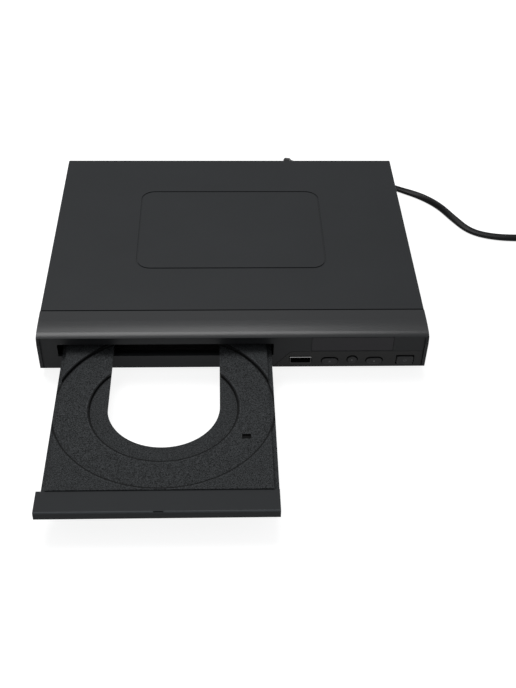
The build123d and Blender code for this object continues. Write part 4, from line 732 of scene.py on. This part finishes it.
def tie_strap():
    """A flat strap round the coil's turns."""
    low_y, high_y = TIE_LOW_Y + TIE_CORNER, TIE_HIGH_Y - TIE_CORNER
    low_z, high_z = TIE_CORNER, TIE_TOP - TIE_CORNER
    inner = TIE_CORNER - TIE_THICK
    corners = ((high_y, high_z, 0), (low_y, high_z, 90), (low_y, low_z, 180), (high_y, low_z, 270))
    outline = []
    for cy, cz, start in corners:
        for index in range(TIE_CORNER_POINTS):
            angle = math.radians(start + index * 90 / (TIE_CORNER_POINTS - 1))
            outline.append((cy + TIE_CORNER * math.cos(angle), cz + TIE_CORNER * math.sin(angle),
                            cy + inner * math.cos(angle), cz + inner * math.sin(angle)))
    points, faces = [], []
    for outer_y, outer_z, inner_y, inner_z in outline:
        for x, y, z in ((-TIE_HALF_WIDE, outer_y, outer_z), (TIE_HALF_WIDE, outer_y, outer_z),
                        (TIE_HALF_WIDE, inner_y, inner_z), (-TIE_HALF_WIDE, inner_y, inner_z)):
            points.append(((COIL_X + x) * MM, (y + MIDDLE_Y) * MM, z * MM))
    count = len(outline)
    for index in range(count):
        after = (index + 1) % count
        for corner in range(4):
            beside = (corner + 1) % 4
            faces.append((index * 4 + corner, index * 4 + beside, after * 4 + beside, after * 4 + corner))
    strap = mesh_piece("tie_strap", points, faces, jack_black, "case")
    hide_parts("cord_tie")
    return strap


# ---- Front face: its gaps and the printed marks ------------------------------
LEAN = math.radians(5.6)
FACE_AT = Vector((0.0, -94.9 + MIDDLE_Y, 28.8))  # where places on the face are measured from
FACE_UP = Vector((0.0, -math.sin(LEAN), math.cos(LEAN)))
FACE_OUT = Vector((0.0, -math.cos(LEAN), -math.sin(LEAN)))
KEY_PROUD = 0.5  # the keys' fronts stand this far out of the face
INK = 0.03  # thickness of a printed mark
# The signs on the keys, in millimetres across the face and up it. A bar has its middle, width and height.
OPEN_ARROW = ((55.6, -20.0), (57.0, -20.0), (56.3, -19.1))
OPEN_LINE = (56.3, -20.5, 1.4, 0.25)
PLAY_ARROW = ((68.9, -19.5), (70.1, -18.8), (68.9, -18.1))
STOP_SQUARE = (82.4, -19.8, 1.0, 1.0)
POWER_AT = (100.5, -19.3)
POWER_STROKE = (100.5, -18.7, 0.24, 1.2)


def on_face(x, v, out):
    """A place on the leaning front face, in metres."""
    return (FACE_AT + Vector((x, 0, 0)) + FACE_UP * v + FACE_OUT * out) * MM


def dark_sides(material, node, drop, tone):
    """The sides of a piece in the front face, lost in the shade of its gap."""
    front = max(FACE_OUT.dot(vertex.co) for vertex in bpy.data.objects[node].data.vertices)
    tint_along(material, FACE_OUT, front / MM - drop, spread=0.12, low=tone, high=1.0)


def flat_mark(name, outlines, body):
    """Thin printed shapes on a key, from convex outlines."""
    points, faces = [], []
    for outline in outlines:
        first, count = len(points), len(outline)
        points += [on_face(x, v, KEY_PROUD) for x, v in outline]
        points += [on_face(x, v, KEY_PROUD + INK) for x, v in outline]
        faces.append(tuple(range(first + count, first + 2 * count)))
        faces.append(tuple(reversed(range(first, first + count))))
        for index in range(count):
            after = (index + 1) % count
            faces.append((first + index, first + after, first + count + after, first + count + index))
    mesh_piece(name, points, faces, print_grey, body)


def bar(x, v, wide, high):
    """Outline of a bar about x, v."""
    return [(x - wide / 2, v - high / 2), (x + wide / 2, v - high / 2),
            (x + wide / 2, v + high / 2), (x - wide / 2, v + high / 2)]


def open_ring(x, v, inner, outer, gap, count):
    """Outlines of a ring that is open at the top by gap degrees each way."""
    outlines = []
    angles = [math.radians(90 + gap + index * (360 - 2 * gap) / count) for index in range(count + 1)]
    for start, stop in zip(angles, angles[1:]):
        corners = ((inner, start), (outer, start), (outer, stop), (inner, stop))
        outlines.append([(x + radius * math.cos(turn), v + radius * math.sin(turn))
                         for radius, turn in corners])
    return outlines


def key_marks():
    """Plain signs for open, play, stop and power on the keys."""
    flat_mark("mark_open", [OPEN_ARROW, bar(*OPEN_LINE)], "open_button")
    flat_mark("mark_play", [PLAY_ARROW], "play_button")
    flat_mark("mark_stop", [bar(*STOP_SQUARE)], "stop_button")
    ring = open_ring(*POWER_AT, inner=0.75, outer=1.0, gap=35, count=20)
    flat_mark("mark_power", [*ring, bar(*POWER_STROKE)], "power_button")


add_camera()
add_room()
add_floor()
for lamp in LAMPS:
    add_panel_light(*lamp)
lead, lead_line, lead_length = cord()
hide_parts("power_cord", "cord_coil")
ribbed_boot()
strap = tie_strap()
dark_sides(key_plastic, "open_button", drop=0.35, tone=0.15)
dark_sides(panel_plastic, "control_panel", drop=0.30, tone=0.2)
dark_sides(smoked, "display_window", drop=0.20, tone=0.2)
key_marks()
